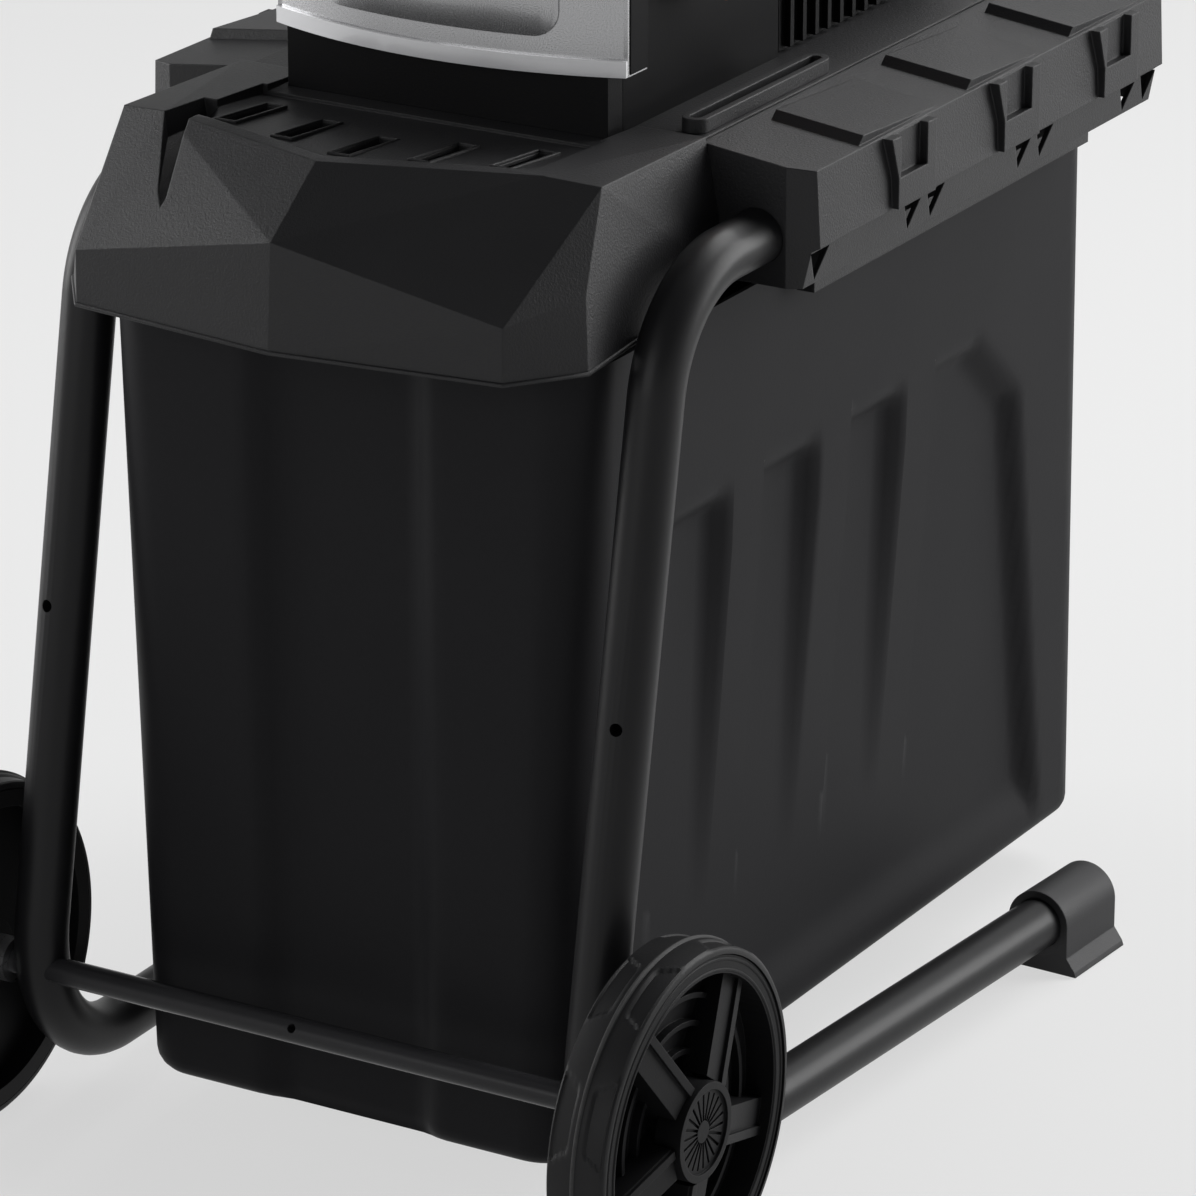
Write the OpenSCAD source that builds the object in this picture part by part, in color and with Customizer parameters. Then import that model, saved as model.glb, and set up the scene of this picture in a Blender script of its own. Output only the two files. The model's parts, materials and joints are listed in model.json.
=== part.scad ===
// Quiet garden shredder on a tube frame, with a collection box, two wheels and a roller cutting head.
// Millimetres, +Z up. The wheels are at the front (-Y), the box pulls out to the rear (+Y).
// The origin is on the floor, under the middle of the machine.

/* [Frame tubes] */
// Outside diameter of the frame tubes
tube_d = 30; // [26:1:32]
// Wall of the frame tubes
tube_wall = 2; // [1:0.5:4]
// Distance from the deck's edge to the axis of each leg
leg_out = 34; // [33:1:44]
// Lean of the legs, the top going back
leg_lean = 10.3; // [6:0.1:13]
// Height of the upper run of the tubes
tube_top_z = 527; // [520:1:534]
// Height of the floor run of the tubes under the legs
tube_low_z = 38; // [34:1:44]
// Height of the floor run of the tubes at the feet
tube_foot_z = 28; // [24:1:32]
// Bend radius at the top of the legs
top_bend_r = 72; // [50:1:76]
// Bend radius at the foot of the legs
low_bend_r = 76; // [60:1:80]
// How far the floor runs turn outwards
toe_out = 2.6; // [0:0.1:4]
// Distance from the axle to the end of the floor run
floor_run_y = 530; // [440:1:540]
// Diameter of the hole in the front of each leg
leg_hole_d = 7; // [4:0.5:10]
// Height of the hole in the front of each leg
leg_hole_z = 300; // [220:1:400]
// How far the hole in each leg is turned outwards
leg_hole_turn = 11; // [0:1:30]

/* [Feet] */
// Wall of the sleeve round the tube
foot_wall = 4.5; // [3:0.5:8]
// Length of the foot
foot_l = 58; // [40:1:70]
// Width of the foot's base
foot_w = 52; // [44:1:64]

/* [Axle and wheels] */
// Axle diameter
axle_d = 15; // [10:1:18]
// Diameter of the cross hole in the axle
axle_hole_d = 5; // [3:0.5:7]
// Place of the cross hole along the axle
axle_hole_x = -6; // [-40:1:40]
// Wheel radius
wheel_r = 100; // [90:1:110]
// Width of the tyre
tyre_w = 34; // [28:1:40]
// Thickness of the tyre's tread
tread_t = 7; // [4:0.5:10]
// Room between each leg and the inner face of its wheel
wheel_gap = 16; // [10:1:25]
// Width of the rim's ring
rim_ring_w = 10; // [6:0.5:14]
// Number of spokes
spokes = 5; // [3:1:8]
// Width of a spoke
spoke_w = 21; // [10:1:26]
// Radius of the hub cap
cap_r = 27; // [22:1:32]
// How far the hub cap stands proud of the wheel
cap_proud = 5; // [3:0.5:10]

/* [Base housing] */
// Height of the skirt's lower edge
skirt_z = 489; // [486:1:496]
// Height of the deck
deck_z = 574; // [570:1:580]
// Wall of the base housing
base_wall = 3.5; // [2.5:0.5:5]
// Half width of the deck between the rails
deck_w = 141; // [138:1:144]
// Room between the skirt and each leg
skirt_gap = 2; // [1:0.5:8]
// Distance from the axle to the rear edge of the deck
deck_rear_y = 585; // [560:1:600]
// Number of vent slots behind the front edge
vents = 5; // [3:1:6]
// Width of a vent slot
vent_w = 10; // [6:1:16]

/* [Side rails] */
// Distance from the axle to the front of the rails
rail_y = 172; // [168:1:180]
// How far the rails reach outside the axes of the legs
rail_out = 31; // [26:1:36]
// Height of the outer top edge of the rails
rail_top_z = 565; // [558:1:570]
// Height of the lower edge of the rails
rail_low_z = 501; // [496:1:504]
// Wall of the rails
rail_wall = 3; // [2:0.5:5]
// Number of clip bosses on each rail
clips = 3; // [2:1:4]

/* [Collection box] */
// Height of the box floor's underside
box_low_z = 31; // [28:1:60]
// Room between the box's rim and the base
box_gap = 4; // [4:1:15]
// Room between the box's rim and each leg
box_side_gap = 9; // [8:1:18]
// How much narrower each side of the box is at its floor
box_taper = 13; // [8:1:26]
// Distance from the axle to the front wall
box_front_y = 38; // [30:1:50]
// Distance from the axle to the rear wall at the rim
box_rear_y = 618; // [600:1:630]
// How far the rear wall leans out at the floor
box_rear_lean = 34; // [0:1:40]
// Wall of the box
box_wall = 3.5; // [2:0.5:5]
// Depth of the sunk panels in the box's walls
panel_depth = 9; // [4:1:14]

/* [Cutting head] */
// Half width of the neck
neck_w = 99; // [92:1:104]
// Distance from the axle to the front of the neck
neck_y = 148; // [140:1:152]
// Height of the neck
neck_h = 33; // [24:1:40]
// Distance from the axle to the rear edge of the side panels
panel_rear_y = 330; // [326:1:336]
// Height of the hopper's throat, from the cutter housing to the top of the head
throat_h = 56; // [52:1:76]
// Wall of the head's shells
head_wall = 3; // [2:0.5:4]
// Distance from the axle to the rear of the motor cover
cover_rear_y = 548; // [540:1:560]
// Number of ribs on each side of the motor cover
cover_ribs = 14; // [8:1:16]
// Height of the hopper above the top of the head
hopper_h = 188; // [120:1:220]

/* [Drive] */
// Radius of the cutting drum over its teeth
drum_r = 42; // [36:1:42]
// Length of the cutting drum
drum_l = 96; // [80:1:98]
// Number of cutting teeth round the drum
drum_teeth = 8; // [6:1:10]
// Diameter of the drum shaft
shaft_d = 20; // [16:1:22]
// Module of the motor stage
motor_module = 1; // [1:0.05:1.05]
// Module of the drum stage
drum_module = 1.25; // [1.25:0.05:1.3]
// Radius of the motor's stator
stator_r = 56; // [50:1:58]
// Length of the motor's core
core_l = 66; // [50:1:70]

/* [Hidden] */
$fn = 48;
// Gap of a running fit, of a loose fit, and between covers
run_gap = 0.05;
loose_gap = 0.3;
cover_gap = 0.3;
tube_r = tube_d / 2;
axle_r = axle_d / 2;
shaft_r = shaft_d / 2;
leg_x = deck_w + leg_out;
wheel_x = leg_x + tube_r + wheel_gap;
skirt_w = leg_x - tube_r - skirt_gap;
rail_x = leg_x + rail_out;
box_top_z = skirt_z - box_gap;
box_top_w = leg_x - tube_r - box_side_gap;
box_low_w = box_top_w - box_taper;
housing_h = 150;
housing_top = deck_z + housing_h;
head_top_z = housing_top + throat_h;
hopper_top_z = head_top_z + hopper_h;
drum_rise = 81;
drum_shift = -10;
grip_out = 46;
rear_reach = box_rear_y + max(box_rear_lean, grip_out);
axle_y = (wheel_r - rear_reach) / 2;
wheel_out_x = wheel_x + tyre_w;
hub_r = 20;
axle_end_x = wheel_out_x - 4;
foot_r = tube_r + foot_wall;
// Teeth of each driving pinion and of each driven wheel
pinion_teeth = 12;
wheel_teeth = 72;
// The drum's, the idler's and the motor's axes, as [x, z]
drum_at = [drum_shift, deck_z + drum_rise];
stage_far = drum_module * (wheel_teeth + pinion_teeth) / 2;
stage_near = motor_module * (wheel_teeth + pinion_teeth) / 2;
idler_at = drum_at + stage_far * [cos(60), sin(60)];
motor_at = idler_at - [idler_at[0], sqrt(stage_near * stage_near - idler_at[0] * idler_at[0])];
// Stations along the drive, from the axle
chamber_y = 178;
chamber_wall = 9;
drum_y = chamber_y + chamber_wall + 3;
chamber_rear = drum_y + drum_l + 3 + chamber_wall;
far_gear_y = chamber_rear + 12;
gear_w = 12;
near_gear_y = far_gear_y + gear_w + 5;
case_rear = near_gear_y + gear_w + 5;
plate_t = 6;
shield_t = 10;
core_y = case_rear + plate_t + shield_t + 16;
tail_shield_y = core_y + core_l + 16;
fan_y = tail_shield_y + shield_t + 4;
fan_w = 14;

function unit(v) = v / norm(v);
function leg_y(z) = (z - wheel_r) * tan(leg_lean);

module placed() translate([0, axle_y, 0]) children();
module mirrored(side) mirror([side < 0 ? 1 : 0, 0, 0]) children();
// Turns a shape drawn along +Z so that it lies along +Y or +X
module along_y() rotate([-90, 0, 0]) children();
module along_x() rotate([0, 90, 0]) children();
// The tube's path: upper run, leg and floor run, with a bend at each corner. A station is [place, way]
floor_tip = [leg_x + floor_run_y * tan(toe_out), floor_run_y, tube_foot_z];
run_end = [leg_x, deck_rear_y - 70, tube_top_z];
top_corner = [leg_x, leg_y(tube_top_z), tube_top_z];
low_corner = [leg_x, leg_y(tube_low_z), tube_low_z];
run_way = [0, -1, 0];
leg_way = unit(low_corner - top_corner);
floor_way = unit(floor_tip - low_corner);
bend_steps = 12;
// Stations round a bend of radius r where the tube comes in along a and leaves along b
function bend(corner, a, b, r) = let (turn = acos(a * b), inward = unit(b - (a * b) * a),
  start = corner - a * r * tan(turn / 2))
  [for (i = [0:bend_steps]) let (t = turn * i / bend_steps)
    [start + r * (sin(t) * a + (1 - cos(t)) * inward), cos(t) * a + sin(t) * inward]];
tube_stations = concat([[run_end, run_way]], bend(top_corner, run_way, leg_way, top_bend_r),
  bend(low_corner, leg_way, floor_way, low_bend_r), [[floor_tip, floor_way]]);
// Sweeps a pipe of n sides along stations: the outer rings come first, then the inner ones
module pipe(stations, outer, inner, n) {
  rings = len(stations);
  points = [for (r = [outer, inner], s = stations, k = [0:n - 1])
    let (side = unit([1, 0, 0] - s[1][0] * s[1]), top = cross(s[1], side), t = 360 * k / n)
    s[0] + r * (cos(t) * side + sin(t) * top)];
  function at(layer, ring, k) = (layer * rings + ring) * n + k % n;
  function patch(a, b, c, d) = [[a, b, c], [a, c, d]];
  faces = [for (k = [0:n - 1], part = concat(
    [for (i = [0:rings - 2]) each patch(at(0, i, k), at(0, i + 1, k), at(0, i + 1, k + 1), at(0, i,
    k + 1))],
    [for (i = [0:rings - 2]) each patch(at(1, i, k + 1), at(1, i + 1, k + 1), at(1, i + 1, k), at(1, i,
    k))],
    patch(at(0, 0, k), at(0, 0, k + 1), at(1, 0, k + 1), at(1, 0, k)),
    patch(at(0, rings - 1, k + 1), at(0, rings - 1, k), at(1, rings - 1, k), at(1, rings - 1, k + 1))))
      part];
  polyhedron(points, faces);
}
tube_sides = 24;
module frame_tube(side) color([0.09, 0.09, 0.1]) placed() mirrored(side) difference() {
  pipe(tube_stations, tube_r, tube_r - tube_wall, tube_sides);
  translate([leg_x - tube_d, 0, wheel_r]) along_x() cylinder(h = 2 * tube_d, r = axle_r + loose_gap);
  translate([leg_x, leg_y(leg_hole_z), leg_hole_z]) rotate([-leg_lean, 0, 0]) rotate([90, 0, leg_hole_turn])
    cylinder(h = tube_d, r = leg_hole_d / 2);
}
module frame_tube_left() frame_tube(-1);
module frame_tube_right() frame_tube(1);

// A foot cap: a sleeve closed at the rear, over a flat block that flares to the floor
foot_turn = -atan2(floor_way[0], floor_way[1]);
foot_rise = asin(floor_way[2]);
foot_waist = 0.38 * tube_foot_z;
module foot(side) color([0.14, 0.14, 0.15]) placed() mirrored(side) translate(floor_tip) rotate([0, 0,
  foot_turn]) difference() {
  union() {
    rotate([foot_rise, 0, 0]) translate([0, loose_gap + foot_wall - foot_l, 0]) along_y()
      cylinder(h = foot_l, r = foot_r);
    run_y(loose_gap + foot_wall - foot_l, loose_gap + foot_wall) polygon([[-foot_w / 2, -tube_foot_z],
      [foot_w / 2, -tube_foot_z],
      [foot_w / 2 - 1, 3 - tube_foot_z], [foot_r, foot_waist - tube_foot_z], [foot_r, 0], [-foot_r, 0],
      [-foot_r, foot_waist - tube_foot_z], [1 - foot_w / 2, 3 - tube_foot_z]]);
  }
  rotate([foot_rise, 0, 0]) translate([0, -foot_l, 0]) along_y() cylinder(h = foot_l + loose_gap,
    r = tube_r + run_gap);
}
module foot_left() foot(-1);
module foot_right() foot(1);

module axle() color([0.12, 0.12, 0.13]) placed() difference() {
  translate([-axle_end_x, 0, wheel_r]) along_x() cylinder(h = 2 * axle_end_x, r = axle_r);
  translate([axle_hole_x, 0, wheel_r]) rotate([60, 0, 0]) cylinder(h = 2 * axle_d, r = axle_hole_d / 2,
    center = true);
}
// A washer each side takes up the room between leg and wheel hub
module axle_washers() color([0.6, 0.6, 0.62]) placed() for (side = [-1, 1]) mirrored(side)
  translate([leg_x + tube_r + 0.5, 0, wheel_r]) along_x() difference() {
    cylinder(h = wheel_x - leg_x - tube_r - 1, r = axle_r + 5);
    translate([0, 0, -1]) cylinder(h = wheel_x, r = axle_r + run_gap);
  }
module axle_clips() color([0.6, 0.6, 0.62]) placed() for (side = [-1, 1]) mirrored(side)
  translate([axle_end_x - 4, 0, wheel_r]) along_x() difference() {
    cylinder(h = 2, r = axle_r + 4);
    translate([0, 0, -1]) cylinder(h = 4, r = axle_r + run_gap);
  }

// Wheel: a rim with a web, rings and spokes, a tyre round it and a ribbed hub cap
rim_r = wheel_r - tread_t;
web_t = 4;
web_x = 12;
spoke_t = 10;
spoke_rib = 5;
// A spoke's face falls from the hub cap to the rim
spoke_ends = [[cap_r + cover_gap, tyre_w + 1], [rim_r - rim_ring_w + 2, tyre_w - 8]];
module spoke_bar(low_y, high_y, rise) corners([for (end = spoke_ends, y = [low_y, high_y],
  z = [web_x + 2, end[1] + rise]) [end[0], y, z]]);
clip_room = axle_end_x - 4 - loose_gap - wheel_x;
module wheel_spin(side) placed() mirrored(side) translate([wheel_x, 0, wheel_r]) along_x() children();
module wheel_rim(side) color([0.07, 0.07, 0.075]) wheel_spin(side) difference() {
  union() {
    difference() {
      cylinder(h = tyre_w - 1, r = rim_r - cover_gap, $fn = 96);
      translate([0, 0, -1]) cylinder(h = web_x + 1, r = rim_r - rim_ring_w, $fn = 96);
      translate([0, 0, web_x + web_t]) cylinder(h = tyre_w, r = rim_r - rim_ring_w, $fn = 96);
    }
    cylinder(h = clip_room, r = hub_r);
    for (ring = [0.42, 0.58, 0.74]) translate([0, 0, web_x + web_t / 2]) difference() {
      cylinder(h = web_t / 2 + 5, r = ring * rim_r + 1.5, $fn = 72);
      translate([0, 0, -1]) cylinder(h = web_t + 8, r = ring * rim_r - 1.5, $fn = 72);
    }
    for (i = [0:spokes - 1]) rotate(i * 360 / spokes) {
      translate([hub_r - 2, -spoke_w / 2, web_x + 1]) cube([rim_r - rim_ring_w - hub_r + 4, spoke_w,
        spoke_t]);
      spoke_bar(-spoke_w / 2, spoke_w / 2, 0);
      spoke_bar(1 - spoke_w / 2, 1 + spoke_rib - spoke_w / 2, 2);
    }
  }
  translate([0, 0, -1]) cylinder(h = tyre_w + 2, r = axle_r + run_gap);
}
module wheel_rim_left() wheel_rim(-1);
module wheel_rim_right() wheel_rim(1);

// The tyre's band has a raised mid ridge and a row of lugs on each shoulder
lugs = 18;
module tyre(side) color([0.06, 0.06, 0.06]) wheel_spin(side) difference() {
  rotate_extrude($fn = 120) polygon([[rim_r, 0], [wheel_r - 3, 0], [wheel_r - 1, 3], [wheel_r - 1,
    tyre_w / 2 - 2],
    [wheel_r, tyre_w / 2 - 1], [wheel_r, tyre_w / 2 + 1], [wheel_r - 1, tyre_w / 2 + 2],
    [wheel_r - 1, tyre_w - 3], [wheel_r - 3, tyre_w], [rim_r, tyre_w]]);
  for (i = [0:lugs - 1], edge = [0, 1]) rotate((i + edge / 2) * 360 / lugs)
    translate([wheel_r - 2, -1.2, edge * (tyre_w - 10) - 0.5]) cube([4, 2.4, 11]);
}
module tyre_left() tyre(-1);
module tyre_right() tyre(1);

cap_ribs = 22;
cap_skirt = 2;
cap_top = tyre_w + cap_proud;
module hub_cap(side) color([0.08, 0.08, 0.085]) wheel_spin(side) difference() {
  translate([0, 0, clip_room - cap_skirt]) cylinder(h = cap_top - clip_room + cap_skirt, r = cap_r);
  translate([0, 0, clip_room - cap_skirt - 1]) cylinder(h = tyre_w - clip_room + cap_skirt + 1,
    r = hub_r + run_gap);
  translate([0, 0, cap_top - 1.6]) cylinder(h = 3, r = cap_r - 4);
  for (i = [0:cap_ribs - 1]) rotate(i * 360 / cap_ribs) translate([6, -0.8, cap_top - 3.2])
    cube([cap_r - 12, 1.6, 4]);
}
module hub_cap_left() hub_cap(-1);
module hub_cap_right() hub_cap(1);

// Draws a profile given as [x, z] and runs it from y0 to y1
module run_y(y0, y1) translate([0, y1, 0]) rotate([90, 0, 0]) linear_extrude(y1 - y0) children();
// Draws a profile given as [y, z] and runs it from x0 to x1
module run_x(x0, x1) translate([x0, 0, 0]) rotate([90, 0, 90]) linear_extrude(x1 - x0) children();
module block(low, high) translate(low) cube(high - low);
module corners(points) hull() for (p = points) translate(p) cube(0.01, center = true);
function both(points) = concat(points, [for (p = points) [-p[0], p[1], p[2]]]);

// Base housing. Its faceted front is a brow over a ridge over a skirt; w sets the inner wall back
brow_z = deck_z + 6;
ridge_z = skirt_z + 59;
corner_z = skirt_z + 31;
front_end = rail_y - cover_gap;
brow_w = skirt_w - 61;
shoulder_w = skirt_w - 43;
front_w = skirt_w - 28;
shoulder_out = skirt_w - 12;
corner_w = skirt_w - 6;
// The inner form stays clear below the vents' floor
function front_shape(w) = let (top_z = brow_z - 5 * w) both([
  [0, w - 26, skirt_z - w], [front_w - w, w - 9.5, skirt_z - w], [skirt_w - w, 28 + w / 2, skirt_z - w],
  [skirt_w - w, front_end - w, rail_low_z - w], [0, 1.4 * w - 22, ridge_z - w],
  [front_w - w, 1.4 * w - 9, corner_z - w], [corner_w - w, 36 + w / 2, corner_z + 8],
  [0, 21.5 + 2 * w, top_z], [brow_w - w, 49 + 2 * w, top_z], [shoulder_w - w, 54 + 2 * w, top_z + 1.5],
  [shoulder_out - w, 62 + w, top_z - 2], [deck_w + 3 - w, front_end - w, top_z - 4]]);
throat_w = 55;
throat_y = [chamber_y + chamber_wall - 2, chamber_rear - chamber_wall + 2];
vent_rear = neck_y - 14;
vent_field = 106;
vent_l = 46;
vent_span = 84;
vent_lean = 0.26;
vent_front = 44;
// The vents' field falls from just under the brow's edge to the deck
field_edge = [[0, 31, brow_z - 2], [brow_w, 58, brow_z - 2], [vent_field, 66, brow_z - 2],
  [vent_field, vent_rear, deck_z - 2]];
valley_z = brow_z - 12;
valley_x = shoulder_w - 3;
valley_run = 30;
module vent_places() for (i = [0:vents - 1]) let (x = vent_span * (2 * i / (vents - 1) - 1))
  translate([x, vent_front + abs(x) * vent_lean, 0]) children();
module base_housing() color([0.1, 0.1, 0.105]) placed() difference() {
  union() {
    corners(front_shape(0));
    block([-deck_w, rail_y - 30, skirt_z], [deck_w, deck_rear_y, deck_z]);
  }
  corners(front_shape(base_wall));
  block([base_wall - deck_w, vent_rear + base_wall, skirt_z - 1], [deck_w - base_wall,
    deck_rear_y - base_wall, deck_z - base_wall]);
  mirrored(-1) corners([[brow_w, 49, brow_z + 4], [shoulder_w, 54, brow_z + 4],
    [valley_x, 52, valley_z], [valley_x - valley_run, -7, ridge_z - 5], [brow_w, 90, brow_z + 4],
    [shoulder_w, 90, brow_z + 4],
    [valley_x, 90, valley_z]]);
  corners(both([for (rise = [0, 20], p = field_edge) p + [0, 0, rise]]));
  block([-neck_w - 4, vent_rear - 1, deck_z], [neck_w + 4, front_end + 1, deck_z + 20]);
  vent_places() block([-vent_w / 2, 0, deck_z - 24], [vent_w / 2, vent_l, deck_z + 9]);
  block([-throat_w, throat_y[0], deck_z - 9], [throat_w, throat_y[1], deck_z + 9]);
}

// Side rail: a hollow cover over the tube's upper run, seated on the tube by saddles
rail_in_x = deck_w + cover_gap;
rail_in_z = deck_z - 1;
rail_mid_z = rail_low_z + 22;
rail_cut = 14;
tile_slope = atan((rail_in_z - rail_top_z) / (rail_x - rail_in_x));
rail_l = deck_rear_y - rail_y;
function rail_shape(w) = let (open = w > 0 ? 1 : 0) [[rail_in_x + w, rail_in_z - w], [rail_x - w,
  rail_top_z - w],
  [rail_x + 2 - w, rail_mid_z], [rail_x - 2 - w, rail_mid_z - 2], [rail_x - 6 - w, rail_low_z - open],
  [rail_in_x + w, rail_low_z - open]];
function clip_y(i) = rail_y + 79 + i * clip_pitch;
clip_pitch = 366 / clips;
function notch_y(i) = clip_y(0) + 40 + i * 1.06 * clip_pitch;
clip_w = 50;
clip_out = 6;
clip_rib = 10;
pocket_h = 24;
step_h = 5;
// The slanted nose at the outer front corner, set back by w for the inner form
module rail_nose(w) translate([0, 0, rail_low_z - 5]) linear_extrude(90) polygon([[rail_x - rail_cut - w,
  rail_y - 1],
  [rail_x + rail_cut, rail_y - 1], [rail_x + rail_cut, rail_y + rail_cut + w], [rail_x - rail_cut - w,
  rail_y]]);
// Boss with an open pocket in its upper half; its front side leans
module clip_boss(y) difference() {
  run_x(rail_x - rail_wall, rail_x + clip_out) polygon([[y + 8, rail_mid_z + 1], [y + clip_w,
    rail_mid_z + 1],
    [y + clip_w, rail_top_z - 1], [y, rail_top_z - 1], [y + 8, rail_top_z - pocket_h]]);
  block([rail_x + 1, y + clip_rib, rail_top_z - pocket_h], [rail_x + clip_out + 1, y + clip_w - clip_rib,
    rail_top_z]);
}
module side_rail(side) color([0.105, 0.105, 0.11]) placed() mirrored(side) difference() {
  union() {
    difference() {
      run_y(rail_y, deck_rear_y) polygon(rail_shape(0));
      difference() {
        run_y(rail_y + rail_wall, deck_rear_y - rail_wall) polygon(rail_shape(rail_wall));
        rail_nose(rail_wall);
      }
    }
    for (y = [rail_y + 40, rail_y + rail_l / 2, deck_rear_y - 90])
      run_y(y, y + 4) polygon(rail_shape(0));
    for (i = [0:clips - 1]) {
      clip_boss(clip_y(i));
      translate([rail_in_x, 0, rail_in_z]) rotate([0, tile_slope, 0]) run_x(10, rail_x - rail_in_x - 2)
        polygon([[clip_y(i) - 24, -2], [clip_y(i) - 18, step_h], [clip_y(i) + clip_pitch - 36, -1],
          [clip_y(i) + clip_pitch - 36, -2]]);
    }
  }
  translate([leg_x, rail_y - 1, tube_top_z]) along_y()
    cylinder(h = run_end[1] - rail_y + 1 + loose_gap, r = tube_r + run_gap);
  for (i = [-1:clips - 1], k = [0, 1]) translate([0, notch_y(i) + k * 26, 0])
    run_x(rail_x - 10, rail_x + 5) polygon([[-10, rail_mid_z - 3], [10, rail_mid_z - 3], [0,
      rail_low_z + 2]]);
  rail_nose(0);
}
module side_rail_left() side_rail(-1);
module side_rail_right() side_rail(1);

// A long raised frame round a slot on the right of the deck
slot_l = 144;
slot_w = 15;
module stadium(l, w) {
  translate([-w / 2, w / 2]) square([w, l - w]);
  translate([0, w / 2]) circle(w / 2);
  translate([0, l - w / 2]) circle(w / 2);
}
module rail_slot_frame() color([0.1, 0.1, 0.105]) placed() translate([deck_w - slot_w / 2 - 3, rail_y + 6,
  deck_z])
  linear_extrude(8) difference() {
    stadium(slot_l, slot_w);
    translate([0, 4]) stadium(slot_l - 8, slot_w - 8);
  }

// Runners under the deck hold the box by the flange along its rim
flange_z = box_top_z - 10;
flange_t = 6;
runner_y = rail_y + 84;
flange_y = runner_y + 4;
flange_out = 6;
flange_x = box_top_w + flange_out;
runner_t = 4;
runner_x = flange_x + 2.5;
module box_runners() color([0.1, 0.1, 0.105]) placed() for (side = [-1, 1]) mirrored(side)
  run_y(runner_y, deck_rear_y - 2) polygon([[deck_w - base_wall, skirt_z], [runner_x + runner_t, skirt_z],
    [runner_x + runner_t, flange_z - loose_gap - runner_t], [box_top_w + 2,
    flange_z - loose_gap - runner_t],
    [box_top_w + 2, flange_z - loose_gap], [runner_x, flange_z - loose_gap],
    [runner_x, skirt_z - 3], [deck_w - base_wall, skirt_z - 3]]);

// Collection box: a tapered bucket with rounded corners and sunk panels on its front and sides
box_h = box_top_z - box_low_z;
box_round = 30;
level_t = 1;
side_draft = atan((box_top_w - box_low_w) / box_h);
function box_rear(z) = box_rear_y + box_rear_lean * (box_top_z - z) / box_h;
module box_level(w, z, half_w, rear) for (x = [-1, 1], y = [box_front_y + box_round, rear - box_round])
  translate([x * (half_w - box_round), y, z]) cylinder(h = level_t, r = box_round - w, $fn = 32);
module box_form(w) hull() {
  if (w > 0) box_level(w, box_top_z + box_h / 8, box_top_w + (box_top_w - box_low_w) / 8,
    box_rear_y - box_rear_lean / 8);
  else box_level(w, box_top_z - level_t, box_top_w, box_rear_y);
  box_level(w, box_low_z + 14, box_low_w, box_rear(box_low_z));
  box_level(w + 9, box_low_z + w, box_low_w, box_rear(box_low_z));
}
// The sunk panel of a side wall, laid in the wall's draft, with ribs that fade towards the floor
sunk_y = [box_front_y + 80, box_rear_y - 25];
sunk_z = [box_low_z + 26, box_low_z + 344];
rib_w = 32;
ribs_y = [for (i = [0:3]) box_front_y + 82 + i * 98.5 ];
module sunk_side(depth, grow) translate([box_low_w, 0, box_low_z]) rotate([0, side_draft, 0])
  translate([-depth, 0, -box_low_z])
  difference() {
    run_x(0, 40) polygon([[sunk_y[0] - grow, sunk_z[0] - grow], [sunk_y[1] + grow, sunk_z[0] - grow],
      [sunk_y[1] - 44 + grow, sunk_z[1] - 44], [sunk_y[1] - 102 + grow / 2, sunk_z[1] + grow],
      [sunk_y[0] - grow, sunk_z[1] + grow]]);
    for (y = ribs_y) run_y(y + grow, y + rib_w - grow) polygon([[-1, sunk_z[1] + 9], [depth, sunk_z[1] + 9],
      [0, sunk_z[0] + 90], [-1, sunk_z[0] + 90]]);
  }
module sunk_front(depth, grow) linear_extrude(box_top_z + 20) polygon([[-62 - grow, box_front_y - 9],
  [62 + grow, box_front_y - 9],
  [52 + grow, box_front_y], [42 + grow, box_front_y + depth], [-42 - grow, box_front_y + depth],
  [-52 - grow, box_front_y]]);
latch_w = 44;
latch_t = 8;
latch_z = box_top_z - 30;
latch_y = box_rear(latch_z) + loose_gap;
guide_w = 6;
module collection_box() color([0.13, 0.125, 0.13]) placed() difference() {
  union() {
    difference() {
      box_form(0);
      sunk_front(panel_depth, 0);
      for (side = [-1, 1]) mirrored(side) sunk_side(panel_depth, 0);
    }
    difference() {
      block([-flange_x, flange_y, flange_z], [flange_x, box_rear_y - box_round, flange_z + flange_t]);
      block([-box_top_w + 2, box_front_y, flange_z - 1], [box_top_w - 2, box_rear_y,
        flange_z + flange_t + 1]);
    }
    for (side = [-1, 1]) mirrored(side)
      block([latch_w / 2 + loose_gap, box_rear_y - 2, latch_z], [latch_w / 2 + loose_gap + guide_w,
        latch_y + latch_t + 3, box_top_z]);
    for (side = [-1, 1]) mirrored(side)
      block([latch_w / 2 - 4, latch_y + latch_t + loose_gap, latch_z], [latch_w / 2 + loose_gap + guide_w,
        latch_y + latch_t + 3, box_top_z]);
  }
  difference() {
    box_form(box_wall);
    sunk_front(panel_depth + box_wall, box_wall);
    for (side = [-1, 1]) mirrored(side) sunk_side(panel_depth + box_wall, box_wall);
  }
}
// A bail grip on the rear wall
grip_w = 120;
grip_z = box_top_z - 62;
grip_r = 8;
grip_leg = 14;
module box_handle() color([0.12, 0.12, 0.125]) placed() difference() {
  union() {
    translate([-grip_w / 2, box_rear_y + grip_out - grip_r, grip_z]) along_x() cylinder(h = grip_w,
      r = grip_r);
    for (side = [-1, 1]) mirrored(side) block([grip_w / 2 - grip_leg, box_rear_y - 4, grip_z - grip_r],
      [grip_w / 2, box_rear_y + grip_out - grip_r, grip_z + grip_r]);
  }
  box_form(-0.05);
}
module box_latch() color([0.75, 0.12, 0.08]) placed() {
  block([-latch_w / 2, latch_y, latch_z], [latch_w / 2, latch_y + latch_t, box_top_z]);
  block([-12, latch_y + latch_t - 1, latch_z + 6], [12, latch_y + latch_t + 7, latch_z + 16]);
}
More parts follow.
